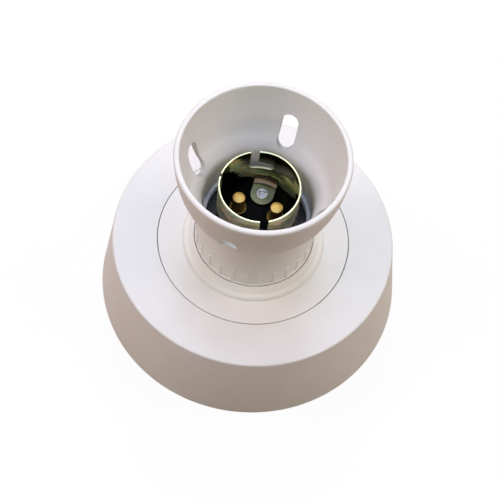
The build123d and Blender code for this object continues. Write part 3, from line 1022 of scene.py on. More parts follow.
@dataclass
class Skirt(Piece):
    """The bell on its ribbed sleeve, with four vents.

    Attributes:
        outside: The bell's outer line from the rim down.
        inside: The bell's inner line from the bore up.
        radius: Radius of the sleeve.
        bore: Radius inside the sleeve.
        band_radius: Radius of the recessed band.
        band_top: Level of the band's top.
        foot_radius: Radius of the ring at the foot.
        foot_top: Level of that ring's top.
        foot: Level of the sleeve's end.
        ribs: Number of ribs on the band.
        rib_low: Level of the ribs' lower end.
        rib_high: Level of the ribs' upper end.
        rib_width: Width of a rib.
        vents: Number of vents.
        vent_angle: Angle of the first vent, in degrees.
        vent_width: Width of a vent.
        vent_low: Level of the vents' lower end.
        vent_high: Level of the vents' upper end.
        margin: How far outside a vent's edge its walls are looked for.
        wall_facing: How far a vent's wall may face along the vent, as a cosine.
    """

    outside: tuple[tuple[float, float], ...] = (
        (24.85, 72.55), (23.0, 60.4), (20.9, 54.4), (17.35, 49.8))
    inside: tuple[tuple[float, float], ...] = (
        (16.0, 46.5), (16.35, 49.8), (17.63, 51.73), (19.55, 54.4), (21.2, 60.4), (23.15, 72.55))
    radius: float = 17.35
    bore: float = 16.0
    band_radius: float = 17.05
    band_top: float = 36.05
    foot_radius: float = 17.58
    foot_top: float = 29.5
    foot: float = 27.1
    ribs: int = 26
    rib_low: float = 29.4
    rib_high: float = 34.9
    rib_width: float = 0.9
    vents: int = 4
    vent_angle: float = 81.9
    vent_width: float = 5.1
    vent_low: float = 50.94
    vent_high: float = 62.88
    margin: float = 0.1
    wall_facing: float = 0.1

    def shape(self) -> Thing:
        """Turn the bell, set the ribs on its foot and cut the vents.

        Returns:
            The skirt.
        """
        outer = flowing(self.outside, (-0.1, -1), (-1, -0.9))
        inner = flowing(self.inside, (0, 1), (0.1, 1))
        skirt = Bench.turn(self.name, [
            (*inner[-1], 0.45),
            (*outer[0], 0.8),
            *outer[1:],
            (self.radius, self.band_top, 0.08),
            (self.band_radius, self.band_top),
            (self.band_radius, self.foot_top),
            (self.foot_radius, self.foot_top, 0.1),
            (self.foot_radius, self.foot, 0.15),
            (self.bore, self.foot, 0.15),
            *inner[:-1],
        ], steps=224)
        Bench.combine(skirt, self.comb(), "UNION")
        rise = self.vent_high - self.vent_low - self.vent_width
        for number in range(self.vents):
            vent = Bench.slot("vent", self.vent_width, (0, 0, rise), self.outside[0][0],
                              self.vent_angle + 360 * number / self.vents,
                              self.vent_low + self.vent_width / 2)
            Bench.combine(skirt, vent, "DIFFERENCE")
        return skirt

    def add(self) -> list[Thing]:
        """Model the skirt, with the walls of its vents painted darker and a little rougher than the rest,
        as painted shade.

        Returns:
            The finished skirt, alone in a list.
        """
        skirt = super().add()[0]
        skirt.data.materials.append(VENT_SHADE_WHITE.material())
        low, high = (self.vent_low - self.margin) * MM, (self.vent_high + self.margin) * MM
        for number in range(self.vents):
            turn = radians(self.vent_angle + 360 * number / self.vents)
            through = Vector((cos(turn), sin(turn), 0))
            across = Vector((-sin(turn), cos(turn), 0))
            for face in skirt.data.polygons:
                beside = abs(face.center.dot(across)) < (self.vent_width / 2 + self.margin) * MM
                inside = low < face.center.z < high and face.center.dot(through) > 0
                if beside and inside and abs(face.normal.dot(through)) < self.wall_facing:
                    face.material_index = 1
        return [skirt]

    def comb(self) -> Thing:
        """Model one rib and copy it round the band.

        Returns:
            All the ribs as one mesh.
        """
        half = self.rib_width / 2
        rib = Bench.block("rib", (self.band_radius - 0.3, -half, self.rib_low),
                          (self.radius, half, self.rib_high), bevel=0.12)
        turns = [360 * number / self.ribs for number in range(1, self.ribs)]
        return Bench.join(rib, [Bench.turned_copy(rib, "rib", angle) for angle in turns])


@dataclass
class NeckBody(Piece):
    """The neck that the skirt screws on, with its flange and screw bosses.

    Attributes:
        bore: Radius inside the neck.
        radius: Radius of the neck.
        top: Level of the neck's lip.
        flange: Radius of the flange.
        flange_low: Level of the flange's underside.
        flange_high: Level of the flange's upper side.
        boss_place: Distance of the bosses from the axis.
        boss_radius: Radius of a boss.
        boss_height: Height of a boss.
        blind: Depth of the holes for the insulator's screws.
        screw_place: Distance of the neck screws from the axis.
        screw_pass: Radius of the holes for the neck screws.
        screw_bite: Radius of the holes for the insulator's screws.
    """

    bore: float = 14.7
    radius: float = 15.92
    top: float = 40.0
    flange: float = 25.4
    flange_low: float = 18.15
    flange_high: float = 20.65
    boss_place: float = 18.9
    boss_radius: float = 2.6
    boss_height: float = 2.5
    blind: float = 4.2
    screw_place: float = 21.0
    screw_pass: float = 1.5
    screw_bite: float = 1.25

    def shape(self) -> Thing:
        """Turn the neck, set the bosses on it and drill it.

        Returns:
            The neck.
        """
        neck = Bench.turn(self.name, [
            (self.bore, self.flange_low, 0.15),
            (self.flange, self.flange_low, 0.3),
            (self.flange, self.flange_high, 0.3),
            (self.radius, self.flange_high),
            (self.radius, self.top, 0.35),
            (self.bore, self.top, 0.35),
        ])
        middle, below = (self.flange_low + self.flange_high) / 2, self.flange_low - CLEAR
        for sign in BOTH_SIDES:
            Bench.bar(neck, "UNION", self.boss_radius, self.flange_high + self.boss_height - middle,
                      (0, sign * self.boss_place, middle))
            Bench.bar(neck, "DIFFERENCE", self.screw_bite, self.blind + CLEAR,
                      (0, sign * self.boss_place, below))
            Bench.bar(neck, "DIFFERENCE", self.screw_pass, 2 * (self.flange_high - self.flange_low),
                      (sign * self.screw_place, 0, below))
        return neck


@dataclass
class Insulator(Piece):
    """The black moulding in the neck: head, tube, foot with two ears, and the pillars' sockets.

    Attributes:
        radius: Radius of the tube.
        bore: Radius inside the tube.
        head: Radius of the head inside the sleeve.
        floor: Level of the head's face.
        shoulder: Level of the shoulder round the head.
        deck: Level of the deck's underside.
        foot_low: Level of the foot's underside.
        foot_high: Level of the foot's upper side.
        foot_radius: Radius of the foot.
        ear_place: Distance of the ears from the axis.
        ear_radius: Radius of an ear.
        screw_pass: Radius of the holes in the ears.
        pillar_place: Distance of the pillars from the axis.
        sockets: Radius, lower and upper level of each step of a pillar's socket.
        boss_radius: Radius of the boss round a pillar.
        rivet_radius: Radius of the rivets' holes.
        shade_depth: How far below the floor face the darker finish, painted shade, reaches.
    """

    radius: float = 14.5
    bore: float = 12.0
    head: float = 11.2
    floor: float = 41.65
    shoulder: float = 38.6
    deck: float = 37.65
    foot_low: float = 15.65
    foot_high: float = 18.15
    foot_radius: float = 15.8
    ear_place: float = 18.9
    ear_radius: float = 3.4
    screw_pass: float = 1.5
    pillar_place: float = PILLAR_PLACE
    sockets: tuple[Triple, ...] = (
        (4.25, 14.0, 16.6), (3.35, 15.0, 40.3), (2.55, 39.0, 43.0))
    boss_radius: float = 5.25
    rivet_radius: float = 1.55
    shade_depth: float = 0.3

    def shape(self) -> Thing:
        """Turn the moulding, add its foot and its bosses, and drill it.

        Returns:
            The insulator.
        """
        insulator = Bench.turn(self.name, [
            (0, self.deck),
            (self.bore, self.deck, 0.4),
            (self.bore, self.foot_low),
            (self.radius, self.foot_low),
            (self.radius, self.shoulder, 0.3),
            (self.head, self.shoulder, 0.15),
            (self.head, self.floor, 0.2),
            (0, self.floor),
        ])
        Bench.combine(insulator, self.foot(), "UNION")
        for sign in BOTH_SIDES:
            Bench.bar(insulator, "UNION", self.boss_radius, self.deck - self.foot_low + 0.5,
                      (sign * self.pillar_place, 0, self.foot_low))
        for sign in BOTH_SIDES:
            for radius, low, high in self.sockets:
                Bench.bar(insulator, "DIFFERENCE", radius, high - low, (sign * self.pillar_place, 0, low))
        thick = self.floor - self.deck
        for place in RIVET_PLACES:
            Bench.bar(insulator, "DIFFERENCE", self.rivet_radius, 2 * thick,
                      (0, place, self.deck - thick / 2))
        return insulator

    def add(self) -> list[Thing]:
        """Model the insulator, its floor face painted darker and almost without reflection as painted
        shade, and the rest a lighter, glossier black.

        Returns:
            The finished insulator, alone in a list.
        """
        insulator = super().add()[0]
        insulator.data.materials.append(GLOSS_BLACK.material())
        for face in insulator.data.polygons:
            face.material_index = int(face.center.z < (self.floor - self.shade_depth) * MM)
        return [insulator]

    def foot(self) -> Thing:
        """Model the foot as the hull of a disc and two ears, bored for the tube and the screws.

        Returns:
            The foot.
        """
        thick = self.foot_high - self.foot_low
        discs = [
            Bench.bolt("foot", radius, thick, UPRIGHT, (0, place, self.foot_low), sides=96)
            for radius, place in ((self.foot_radius, 0), (self.ear_radius, self.ear_place),
                                  (self.ear_radius, -self.ear_place))
        ]
        foot = Bench.join(discs[0], discs[1:])
        with Bench.editing("SELECT"):
            bpy.ops.mesh.convex_hull()
        for radius, place in ((self.bore + 0.5, 0), (self.screw_pass, self.ear_place),
                              (self.screw_pass, -self.ear_place)):
            Bench.bar(foot, "DIFFERENCE", radius, 4 * thick, (0, place, self.foot_low - thick), sides=96)
        return foot


@dataclass
class BayonetSleeve(Piece):
    """The rolled sheet that takes the lamp cap, with its J slots and folded tabs.

    Attributes:
        radius: Radius of the sleeve.
        sheet: Thickness of the sheet.
        foot: Level of the sleeve's foot.
        rim: Level of its rim.
        seam_width: Width of the open seam.
        seam_angle: Angle of the seam, in degrees.
        entry_width: Width of the slot that the lamp's pin goes down.
        entry_angle: Angle of that slot, in degrees.
        lock_turn: How far the lamp turns, in degrees.
        lock_low: Level of the lower edge of the lock.
        lock_height: Height of the lock.
        floor: Level that the tabs lie on.
        bend: Radius inside the tabs' fold.
        tab_width: Width of a tab.
        relief: Gap beside a tab.
        rivet_radius: Radius of the rivets' holes.
        slack: How far above the folds the tab zone, with its painted shade, reaches.
        flat: How far a tab's flat faces may lean outwards, as a cosine.
        edge_on: How far a cut edge may face outwards, as a cosine.
    """

    radius: float = 11.8
    sheet: float = 0.55
    foot: float = 38.6
    rim: float = 56.3
    seam_width: float = 1.1
    seam_angle: float = 178.4
    entry_width: float = 2.5
    entry_angle: float = 111.5
    lock_turn: float = 21.5
    lock_low: float = 47.75
    lock_height: float = 3.3
    floor: float = 41.65
    bend: float = 1.9
    tab_width: float = 6.8
    relief: float = 0.3
    rivet_radius: float = 1.55
    slack: float = 0.05
    flat: float = 0.05
    edge_on: float = 0.8

    def shape(self) -> Thing:
        """Turn the tube, cut the seam, slots and windows, and add the folded tabs.

        Returns:
            The sleeve.
        """
        bore = self.radius - self.sheet
        edge = self.sheet * 0.3
        sleeve = Bench.turn(self.name, [
            (bore, self.foot, 0.1),
            (self.radius, self.foot, 0.1),
            (self.radius, self.rim, edge),
            (bore, self.rim, edge),
        ], pieces=3)
        height = self.rim - self.foot
        seam = Bench.slot("seam", self.seam_width, (0, 0, 2 * height), 2 * self.radius,
                          self.seam_angle, self.foot - height / 2)
        Bench.combine(sleeve, seam, "DIFFERENCE")
        for half_turn in (0, 180):
            self.cut_slot(sleeve, self.entry_angle + half_turn)
            window = Bench.block(
                "window", (bore - 2 * CLEAR, -self.tab_width / 2 - self.relief, self.foot - CLEAR),
                (self.radius + 2 * CLEAR, self.tab_width / 2 + self.relief, self.fold_level))
            Bench.combine(sleeve, Bench.swung(window, 90 + half_turn), "DIFFERENCE")
        Bench.combine(sleeve, self.folds(), "UNION")
        for angle, place in zip((90, 270), RIVET_PLACES):
            Bench.combine(sleeve, Bench.swung(self.tab(abs(place)), angle), "UNION")
            hole = Bench.bolt("hole", self.rivet_radius, 4 * CLEAR, UPRIGHT,
                              (abs(place), 0, self.floor - CLEAR))
            Bench.combine(sleeve, Bench.swung(hole, angle), "DIFFERENCE")
        return sleeve

    @property
    def fold_level(self) -> float:
        """Level where the folds meet the wall."""
        return self.floor + self.sheet + self.bend

    @property
    def fold_radius(self) -> float:
        """Radius where the folds meet the flat tabs."""
        return self.radius - self.sheet - self.bend

    def cut_slot(self, sleeve: Thing, entry: float) -> None:
        """Cut one J slot.

        Args:
            sleeve: The sleeve.
            entry: Angle of the slot's way in, in degrees.
        """
        way_in = Bench.slot("way_in", self.entry_width, (0, 0, self.rim), 2 * self.radius, entry,
                            self.lock_low + self.entry_width / 2)
        Bench.combine(sleeve, way_in, "DIFFERENCE")
        end = radians(entry - self.lock_turn)
        reach = self.radius * sin(radians(self.lock_turn)) - (self.lock_height - self.entry_width) / 2
        lock = Bench.slot("lock", self.lock_height, (-sin(end) * reach, cos(end) * reach, 0),
                          2 * self.radius, entry - self.lock_turn, self.lock_low + self.lock_height / 2)
        Bench.combine(sleeve, lock, "DIFFERENCE")

    def add(self) -> list[Thing]:
        """Model the sleeve, with painted shade on its tabs, a painted highlight line on its folds, its
        cut edges brighter than its wall, and a painted lit band on its inner wall.

        Returns:
            The finished sleeve, alone in a list.
        """
        sleeve = super().add()[0]
        for finish in (TAB_SHEET, CUT_SHEET, INNER_SHEET, FOLD_SHEET):
            sleeve.data.materials.append(finish.material())
        tab, cut, inner, fold = range(1, 5)
        for face in sleeve.data.polygons:
            outward = Vector((face.center.x, face.center.y, 0)).normalized()
            facing = face.normal.dot(outward)
            # Faces near the floor take the tabs' painted shade; the folds take the painted highlight
            # colour.
            tab_zone = face.center.z < (self.fold_level + self.slack) * MM
            if tab_zone and abs(face.center.x) < self.tab_width / 2 * MM and abs(facing) > self.flat:
                face.material_index = fold
            elif abs(facing) < self.edge_on:
                face.material_index = tab if tab_zone else cut
            elif facing < 0:
                face.material_index = inner
        return [sleeve]

    def folds(self) -> Thing:
        """Model the two curved folds between the wall and the tabs.

        Returns:
            Both folds as one mesh.
        """
        outer, inner = [], []
        steps, overlap = 12, 0.4
        for step in range(steps + 1):
            angle = pi / 2 * step / steps
            for line, arm in ((outer, self.bend + self.sheet), (inner, self.bend)):
                line.append((self.fold_radius + arm * cos(angle), self.fold_level - arm * sin(angle)))
        outer = [(outer[0][0], outer[0][1] + overlap), *outer, (outer[-1][0] - overlap, outer[-1][1])]
        inner = [(inner[0][0], inner[0][1] + overlap), *inner, (inner[-1][0] - overlap, inner[-1][1])]
        folds = Bench.turn("folds", outer + inner[::-1], pieces=0)
        half = self.tab_width / 2
        strip = Bench.block("strip", (-half, -2 * self.radius, self.floor - CLEAR),
                            (half, 2 * self.radius, self.fold_level + 2 * CLEAR))
        Bench.combine(folds, strip, "INTERSECT")
        return folds

    def tab(self, place: float) -> Thing:
        """Model a flat tab with a rounded end, pointing along +X.

        Args:
            place: Distance of its rivet from the axis.

        Returns:
            The tab.
        """
        tab = Bench.bolt("tab", self.tab_width / 2, self.sheet, UPRIGHT, (place, 0, self.floor), sides=64)
        Bench.stretch(tab, (self.tab_width, 0, 0), (place, 0, self.floor))
        Bench.bar(tab, "INTERSECT", self.fold_radius, 2 * CLEAR, (0, 0, self.floor - CLEAR), sides=192)
        return tab


@dataclass
class Rivet(Piece):
    """A rivet with a dished head and a clinched tail, which holds a tab of the sleeve.

    Attributes:
        place: Where the rivet stands, behind the axis or, below 0, in front of it.
        shank: Radius of the shank.
        bore: Radius of the hollow in the tail.
        bore_depth: Depth of that hollow.
        dish: Radius of the dish in the head, and of the dish's floor.
        dish_depth: Depth of the dish.
        head: Radius of the head and of the clinched end.
        head_height: Height of the head.
        crown: Place of the head's side edge: in from its radius, and up as a share of its height.
        crown_top: Radius of the head's top, as a share of the head's.
        dish_middle: Depth of the dish in its middle, as a share of its depth.
        tab: Level of the tab's face.
        deck: Level of the deck's underside.
    """

    place: float = RIVET_PLACES[0]
    shank: float = 1.5
    bore: float = 1.0
    bore_depth: float = 1.8
    dish: tuple[float, float] = (1.2, 0.7)
    dish_depth: float = 0.55
    head: float = 1.8
    head_height: float = 0.5
    crown: tuple[float, float] = (0.04, 0.75)
    crown_top: float = 0.9
    dish_middle: float = 0.85
    tab: float = 42.2
    deck: float = 37.65

    def shape(self) -> Thing:
        """Turn the rivet.

        Returns:
            The rivet.
        """
        tail, top = self.deck - self.head_height, self.tab + self.head_height
        return Bench.turn(self.name, [
            (0, tail + self.bore_depth),
            (self.bore, tail + self.bore_depth),
            (self.bore, tail, 0.12),
            (self.head, tail, 0.25),
            (self.head, self.deck, 0.08),
            (self.shank, self.deck),
            (self.shank, self.tab),
            (self.head, self.tab, 0.06),
            (self.head - self.crown[0], self.tab + self.head_height * self.crown[1], 0.12),
            (self.head * self.crown_top, top, 0.12),
            (self.dish[0], top, 0.1),
            (self.dish[1], top - self.dish_depth, 0.15),
            (0, top - self.dish_depth * self.dish_middle),
        ], steps=72, centre=(0, self.place))


@dataclass
class Contact(Piece):
    """A sprung brass plunger.

    Attributes:
        place: Distance of the plunger from the axis.
        radius: Radius of the stem.
        top: Level of the dome.
        dome: Height of the dome.
        foot_radius: Radius of the foot.
        foot_high: Level of the foot's upper side.
        foot_low: Level of the foot's underside.
    """

    place: float = PILLAR_PLACE
    radius: float = 1.8
    top: float = 47.6
    dome: float = 0.3
    foot_radius: float = 2.6
    foot_high: float = 39.95
    foot_low: float = 38.75

    def shape(self) -> Thing:
        """Turn the plunger on the left.

        Returns:
            The plunger.
        """
        edge = self.top - self.dome
        sphere = (self.radius**2 + self.dome**2) / (2 * self.dome)
        steps = 8
        spokes = [step / steps * self.radius for step in range(steps - 1, -1, -1)]
        cap = [(spoke, self.top - sphere + (sphere**2 - spoke**2)**0.5) for spoke in spokes]
        return Bench.turn(self.name, [
            (0, self.foot_low),
            (self.foot_radius, self.foot_low, 0.15),
            (self.foot_radius, self.foot_high, 0.1),
            (self.radius, self.foot_high),
            (self.radius, edge, 0.08),
            *cap,
        ], steps=96, centre=(-self.place, 0))


@dataclass
class Terminal(Piece):
    """A brass pillar: lip round the plunger, chamber for the spring, wire hole and screw hole.

    Attributes:
        place: Distance of the pillar from the axis.
        section: Radius, level and rounding of each corner of the pillar's section.
        wire_hole: Radius of the wire hole.
        wire_level: Level of the wire hole.
        screw_hole: Radius of the screw's hole.
        drill: Distance from the pillar's axis that clears the pillar.
        lip_level: Level of the lip's top.
        lip_height: Height of the lip's part that takes the painted highlight.
        highlight_facing: How far up the edges with the painted highlight face, as two cosines.
    """

    place: float = PILLAR_PLACE
    section: tuple[Triple, ...] = (
        (0, 7.0, 0), (3.3, 7.0, 0.3), (3.3, 15.65, 0), (4.2, 15.65, 0.1), (4.2, 16.5, 0.1),
        (3.3, 16.5, 0), (3.3, 40.3, 0.1), (2.5, 40.3, 0), (2.5, 42.0, 0.12), (2.25, 42.0, 0.12),
        (2.25, 41.4, 0), (1.85, 41.4, 0.1), (1.85, 40.0, 0), (2.7, 40.0, 0), (2.7, 27.0, 0),
        (0, 27.0, 0))
    wire_hole: float = 1.6
    wire_level: float = 10.4
    screw_hole: float = 1.25
    drill: float = 5.0
    lip_level: float = 42.0
    lip_height: float = 0.2
    highlight_facing: tuple[float, float] = (0.2, 0.98)

    def shape(self) -> Thing:
        """Turn the pillar on the left and drill it.

        Returns:
            The pillar.
        """
        pillar = Bench.turn(self.name, self.section, steps=96, centre=(-self.place, 0))
        Bench.bar(pillar, "DIFFERENCE", self.wire_hole, 2 * self.drill,
                  (-self.place, -self.drill, self.wire_level), Euler((-pi / 2, 0, 0)))
        Bench.bar(pillar, "DIFFERENCE", self.screw_hole, self.drill + CLEAR,
                  (-self.place, 0, self.wire_level), Bench.facing(180))
        return pillar

    def add(self) -> list[Thing]:
        """Model both pillars in dark brass as painted shade, with the rounded up-facing edges of their
        lips in bright brass as a painted highlight.

        Returns:
            The finished pillars.
        """
        pillars = super().add()
        for pillar in pillars:
            pillar.data.materials.append(BRASS.material())
            for face in pillar.data.polygons:
                lip = face.center.z > (self.lip_level - self.lip_height) * MM
                face.material_index = int(lip and self.highlight_facing[0] < face.normal.z < self.highlight_facing[1])
        return pillars


@dataclass
class Spring(Piece):
    """The spring under a plunger.

    Attributes:
        place: Distance of the spring from the axis.
        coil: Radius of the coil.
        wire: Radius of the wire.
        low: Level of the wire's first end.
        high: Level of its other end.
        turns: Number of turns.
        seat: Level of the floor that the spring stands on; not used.
        shortest: Share of its length at which it is when the plunger is pressed home; not used.
    """

    place: float = PILLAR_PLACE
    coil: float = 2.25
    wire: float = 0.25
    low: float = 27.5
    high: float = 38.25
    turns: int = 6
    seat: float = 27.0
    shortest: float = 0.62

    def shape(self) -> Thing:
        """Wind the spring on the left from a ring of wire.

        Returns:
            The spring.
        """
        Bench.clear()
        bpy.ops.mesh.primitive_circle_add(vertices=12, radius=self.wire * MM, fill_type="NOTHING",
                                          location=(0, 0, 0))
        spring = Bench.named(self.name)
        spring.matrix_world = Matrix.Translation((self.coil * MM, 0, 0)) @ Matrix.Rotation(pi / 2, 4, "X")
        Bench.settle(spring)
        wind = spring.modifiers.new("wind", "SCREW")
        wind.screw_offset = (self.high - self.low) / self.turns * MM
        wind.iterations = self.turns
        wind.steps = wind.render_steps = 40
        wind.use_normal_calculate = True
        bpy.ops.object.modifier_apply(modifier=wind.name)
        with Bench.editing():
            Bench.weld()
            bpy.ops.mesh.fill_holes(sides=0)
            bpy.ops.mesh.normals_make_consistent(inside=False)
        spring.matrix_world = Matrix.Translation(Vector((-self.place, 0, self.low)) * MM)
        Bench.settle(spring)
        return spring

    def add(self) -> list[Thing]:
        """Wind both springs and give each a mesh of its own.

        Returns:
            The finished springs.
        """
        springs = super().add()
        for spring, side in zip(springs, Side):
            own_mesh(spring)
        return springs


@dataclass
class BackPlate(Piece):
    """The plate on the ceiling box, with a rim, two posts, a cable entry and two fixing slots.

    Attributes:
        radius: Radius of the plate.
        thick: Thickness of the plate.
        rim: Outer and inner radius of the rim.
        rim_top: Level of the rim's top.
        entry: Radius of the cable entry.
        post_place: Distance of the posts from the axis.
        post_radius: Radius of a post.
        post_top: Level of the posts' tops.
        post_bore: Radius of the hole in a post.
        post_depth: Depth of the hole in a post.
        slot_place: Distance of the fixing slots from the axis.
        slot_width: Width of a fixing slot.
        slot_length: Length of a fixing slot.
    """

    radius: float = 42.3
    thick: float = 3.0
    rim: tuple[float, float] = (41.3, 39.3)
    rim_top: float = 6.0
    entry: float = 10.0
    post_place: float = 21.0
    post_radius: float = 3.9
    post_top: float = 18.15
    post_bore: float = 1.25
    post_depth: float = 8.2
    slot_place: float = 25.4
    slot_width: float = 4.6
    slot_length: float = 9.0

    def shape(self) -> Thing:
        """Turn the plate, set the posts on it and cut its holes.

        Returns:
            The plate.
        """
        plate = Bench.turn(self.name, [
            (self.entry, 0, 0.3),
            (self.radius, 0, 0.3),
            (self.radius, self.thick, 0.2),
            (self.rim[0], self.thick),
            (self.rim[0], self.rim_top, 0.3),
            (self.rim[1], self.rim_top, 0.3),
            (self.rim[1], self.thick),
            (self.entry, self.thick, 0.3),
        ])
        middle = self.thick / 2
        straight = self.slot_length - self.slot_width
        for sign in BOTH_SIDES:
            place = sign * self.post_place
            Bench.bar(plate, "UNION", self.post_radius, self.post_top - middle, (place, 0, middle))
            Bench.bar(plate, "DIFFERENCE", self.post_bore, 2 * self.post_depth,
                      (place, 0, self.post_top - self.post_depth))
            start = (0, sign * self.slot_place - straight / 2, -self.thick)
            fixing = Bench.bolt("fixing", self.slot_width / 2, 3 * self.thick, UPRIGHT, start)
            Bench.stretch(fixing, (0, straight, 0), start)
            Bench.combine(plate, fixing, "DIFFERENCE")
        return plate


class Workshop:
    """Makes every piece of the holder and dresses the CAD nodes that stay in sight."""

    DRESSED = (
        ("terminal_plate", Slot.BLACK, BLACK),
        ("terminal_screw_left", Slot.STEEL, STEEL),
        ("terminal_screw_right", Slot.STEEL, STEEL),
        ("insulator_screws", Slot.STEEL, STEEL),
        ("neck_screws", Slot.STEEL, STEEL),
        ("earth_terminal", Slot.BRASS, BRASS),
        ("earth_screw", Slot.STEEL, STEEL),
    )

    @staticmethod
    def at(finish: Finish, x: float, y: float) -> Finish:
        """Centre a turned finish on the axis of the piece that wears it.

        Args:
            finish: The finish.
            x: Where the axis stands along X.
            y: Where it stands along Y.

        Returns:
            The centred finish.
        """
        return replace(finish, name=f"{finish.name}_{x:g}_{y:g}", axis=(x, y, 0.0))

    @classmethod
    def pieces(cls) -> list[Piece]:
        """List the pieces that are modelled here.

        Returns:
            The pieces, from the outside in.
        """
        (left, right), (shade_left, shade_right), (wire_left, wire_right) = (
            [cls.at(finish, sign * PILLAR_PLACE, 0) for sign in BOTH_SIDES]
            for finish in (BRASS, SHADED_BRASS, STEEL))
        back, front = (cls.at(STEEL, 0, place) for place in RIVET_PLACES)
        return [
            BaseCover("base_cover", Body.HOLDER, Slot.WHITE, WHITE),
            CoverDisc("cover_disc", Body.HOLDER, Slot.WHITE, WHITE),
            Skirt("skirt", Body.SKIRT, Slot.WHITE, WHITE),
            NeckBody("neck_body", Body.HOLDER, Slot.WHITE, WHITE),
            Insulator("insulator", Body.HOLDER, Slot.BLACK, BLACK),
            BayonetSleeve("bayonet_sleeve", Body.HOLDER, Slot.SLEEVE, SHEET),
            Rivet("sleeve_rivet_back", Body.HOLDER, Slot.STEEL, back),
            Rivet("sleeve_rivet_front", Body.HOLDER, Slot.STEEL, front, place=RIVET_PLACES[1]),
            Contact("contact_left", Body.LEFT_CONTACT, Slot.BRASS, left,
                    Twin("contact_right", Body.RIGHT_CONTACT, right)),
            Terminal("terminal_left", Body.HOLDER, Slot.BRASS, shade_left,
                     Twin("terminal_right", Body.HOLDER, shade_right)),
            Spring("spring_left", Body.HOLDER, Slot.STEEL, wire_left,
                   Twin("spring_right", Body.HOLDER, wire_right)),
            BackPlate("back_plate", Body.HOLDER, Slot.WHITE, WHITE),
        ]

    @classmethod
    def make(cls) -> None:
        """Make every piece and dress the rest of the CAD nodes."""
        for piece in cls.pieces():
            piece.add()
        for name, slot, finish in cls.DRESSED:
            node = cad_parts[name]
            node.data.materials.clear()
            node.data.materials.append(finish.material())
            Bench.polish(node)
            LOG.info("%s: dressed as %s", name, finish.name)


@dataclass(frozen=True)
class Lamp:
    """A soft square light.

    Attributes:
        name: The light's name.
        azimuth: Where it stands round the holder, in degrees from +X.
        power: Its power, in watts.
        colour: Its colour.
        elevation: Its height as an angle, in degrees.
        size: Width of the light, in metres.
        distance: Its distance from the holder, in metres.
    """

    name: str
    azimuth: float
    power: float
    colour: Triple
    elevation: float = 45
    size: float = 0.5
    distance: float = 0.9

    def hang(self) -> Thing:
        """Put the light in the scene, aimed at the holder.

        Returns:
            The light.
        """
        turn, rise = radians(self.azimuth), radians(self.elevation)
        arm = Vector((cos(turn) * cos(rise), sin(turn) * cos(rise), sin(rise)))
        Bench.clear()
        bpy.ops.object.light_add(type="AREA", location=Studio.MIDDLE + arm * self.distance)
        lamp = bpy.context.object
        lamp.name = self.name
        lamp.data.size = self.size
        lamp.data.energy = self.power
        lamp.data.color = self.colour
        lamp.rotation_euler = (-arm).to_track_quat("-Z", "Y").to_euler()
        return lamp


@dataclass(frozen=True)
class PhotoCamera:
    """The camera that the photograph was taken with, as fitted to it.

    Attributes:
        place: Where it stands.
        right: Direction that is to the right in the picture.
        up: Direction that is up in the picture.
        lens: Its focal length.
        sensor: Width of its sensor.
    """

    place: Triple = (36.92, -233.08, 449.12)
    right: Triple = (0.961665, 0.267329, 0.061117)
    up: Triple = (-0.263431, 0.838655, 0.476721)
    lens: float = 117.0
    sensor: float = 36.0

    def set_up(self) -> Thing:
        """Put the camera where the photograph was taken from.

        Returns:
            The camera.
        """
        right, up = Vector(self.right), Vector(self.up)
        turn = Matrix((right, up, right.cross(up))).transposed()
        Bench.clear()
        bpy.ops.object.camera_add(location=Vector(self.place) * MM, rotation=turn.to_euler())
        camera = bpy.context.object
        camera.name = "photo_camera"
        camera.data.lens = self.lens
        camera.data.sensor_width = self.sensor
        bpy.context.scene.camera = camera
        return camera


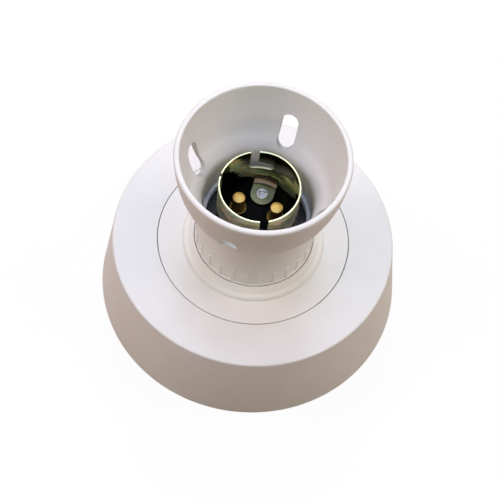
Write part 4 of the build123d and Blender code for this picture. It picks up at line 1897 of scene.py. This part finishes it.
class Studio:
    """Floor, world, lights and camera."""

    MIDDLE = Vector((0, 0, 0.035))
    LAMPS = (
        Lamp("overhead", 90, 1.95, (0.23, 0.48, 1.0), elevation=88, size=0.45),
        Lamp("behind", 105, 4.05, (0.80, 0.88, 1.0)),
        Lamp("left", 195, 3.5, (1.0, 0.85, 0.86)),
        Lamp("right", 15, 3.05, (1.0, 0.86, 0.77)),
        Lamp("front", 285, 1.3, (0.58, 0.80, 1.0)),
    )
    FLOOR_WHITE = 1.0
    FLOOR_TAN = (0.19, 0.05, 0.005)
    GLOW = 0.92
    WORLD_FILL = (0.245, 0.185, 0.06)

    @classmethod
    def seen(cls, wiring: Wiring) -> Socket:
        """Add a mask of the rays that see the background straight, by reflection or through glass.

        Args:
            wiring: The node tree to add it to.

        Returns:
            1 for those rays, 0 for the rest.
        """
        path = wiring.node("ShaderNodeLightPath")
        either = wiring.maths("MAXIMUM", path.outputs["Is Camera Ray"], path.outputs["Is Glossy Ray"])
        return wiring.maths("MAXIMUM", either, path.outputs["Is Transmission Ray"])

    @classmethod
    def floor(cls) -> Thing:
        """Lay a plain floor that looks white and keeps the holder's shadow.

        Returns:
            The floor.
        """
        Bench.clear()
        bpy.ops.mesh.primitive_plane_add(size=FLOOR_SIZE, location=(0, 0, 0))
        floor = Bench.named("floor")
        material = bpy.data.materials.new("floor")
        material.use_nodes = True
        wiring = Wiring(material.node_tree)
        seen = cls.seen(wiring)
        paint = wiring.node("ShaderNodeBsdfDiffuse")
        white = (cls.FLOOR_WHITE,) * 3
        wiring.link(wiring.blend(seen, cls.FLOOR_TAN, white), paint.inputs["Color"])
        glow = wiring.node("ShaderNodeEmission")
        glow.inputs["Strength"].default_value = 1.0
        both = wiring.node("ShaderNodeMixShader")
        wiring.link(wiring.maths("MULTIPLY", seen, cls.GLOW), both.inputs[0])
        wiring.link(paint.outputs[0], both.inputs[1])
        wiring.link(glow.outputs[0], both.inputs[2])
        output = wiring.node("ShaderNodeOutputMaterial")
        wiring.link(both.outputs[0], output.inputs["Surface"])
        floor.data.materials.append(material)
        return floor

    @classmethod
    def sky(cls) -> None:
        """Wire the world: white where it is seen, a dim fill for the light on the holder."""
        world = bpy.data.worlds.new("studio")
        bpy.context.scene.world = world
        world.use_nodes = True
        wiring = Wiring(world.node_tree)
        back = wiring.node("ShaderNodeBackground")
        wiring.link(wiring.blend(cls.seen(wiring), cls.WORLD_FILL, (1.0, 1.0, 1.0)), back.inputs["Color"])
        output = wiring.node("ShaderNodeOutputWorld")
        wiring.link(back.outputs[0], output.inputs["Surface"])

    @classmethod
    def set_up(cls) -> None:
        """Build the whole studio."""
        cls.sky()
        cls.floor()
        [lamp.hang() for lamp in cls.LAMPS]
        PhotoCamera().set_up()
        bpy.context.scene.view_settings.view_transform = "Standard"
        LOG.info("studio: %d lamps", len(cls.LAMPS))


def main() -> None:
    """Model the holder and set up its studio."""
    logging.basicConfig(level=logging.INFO, format="%(message)s")
    Workshop.make()
    Studio.set_up()


if __name__ == "__main__":
    main()
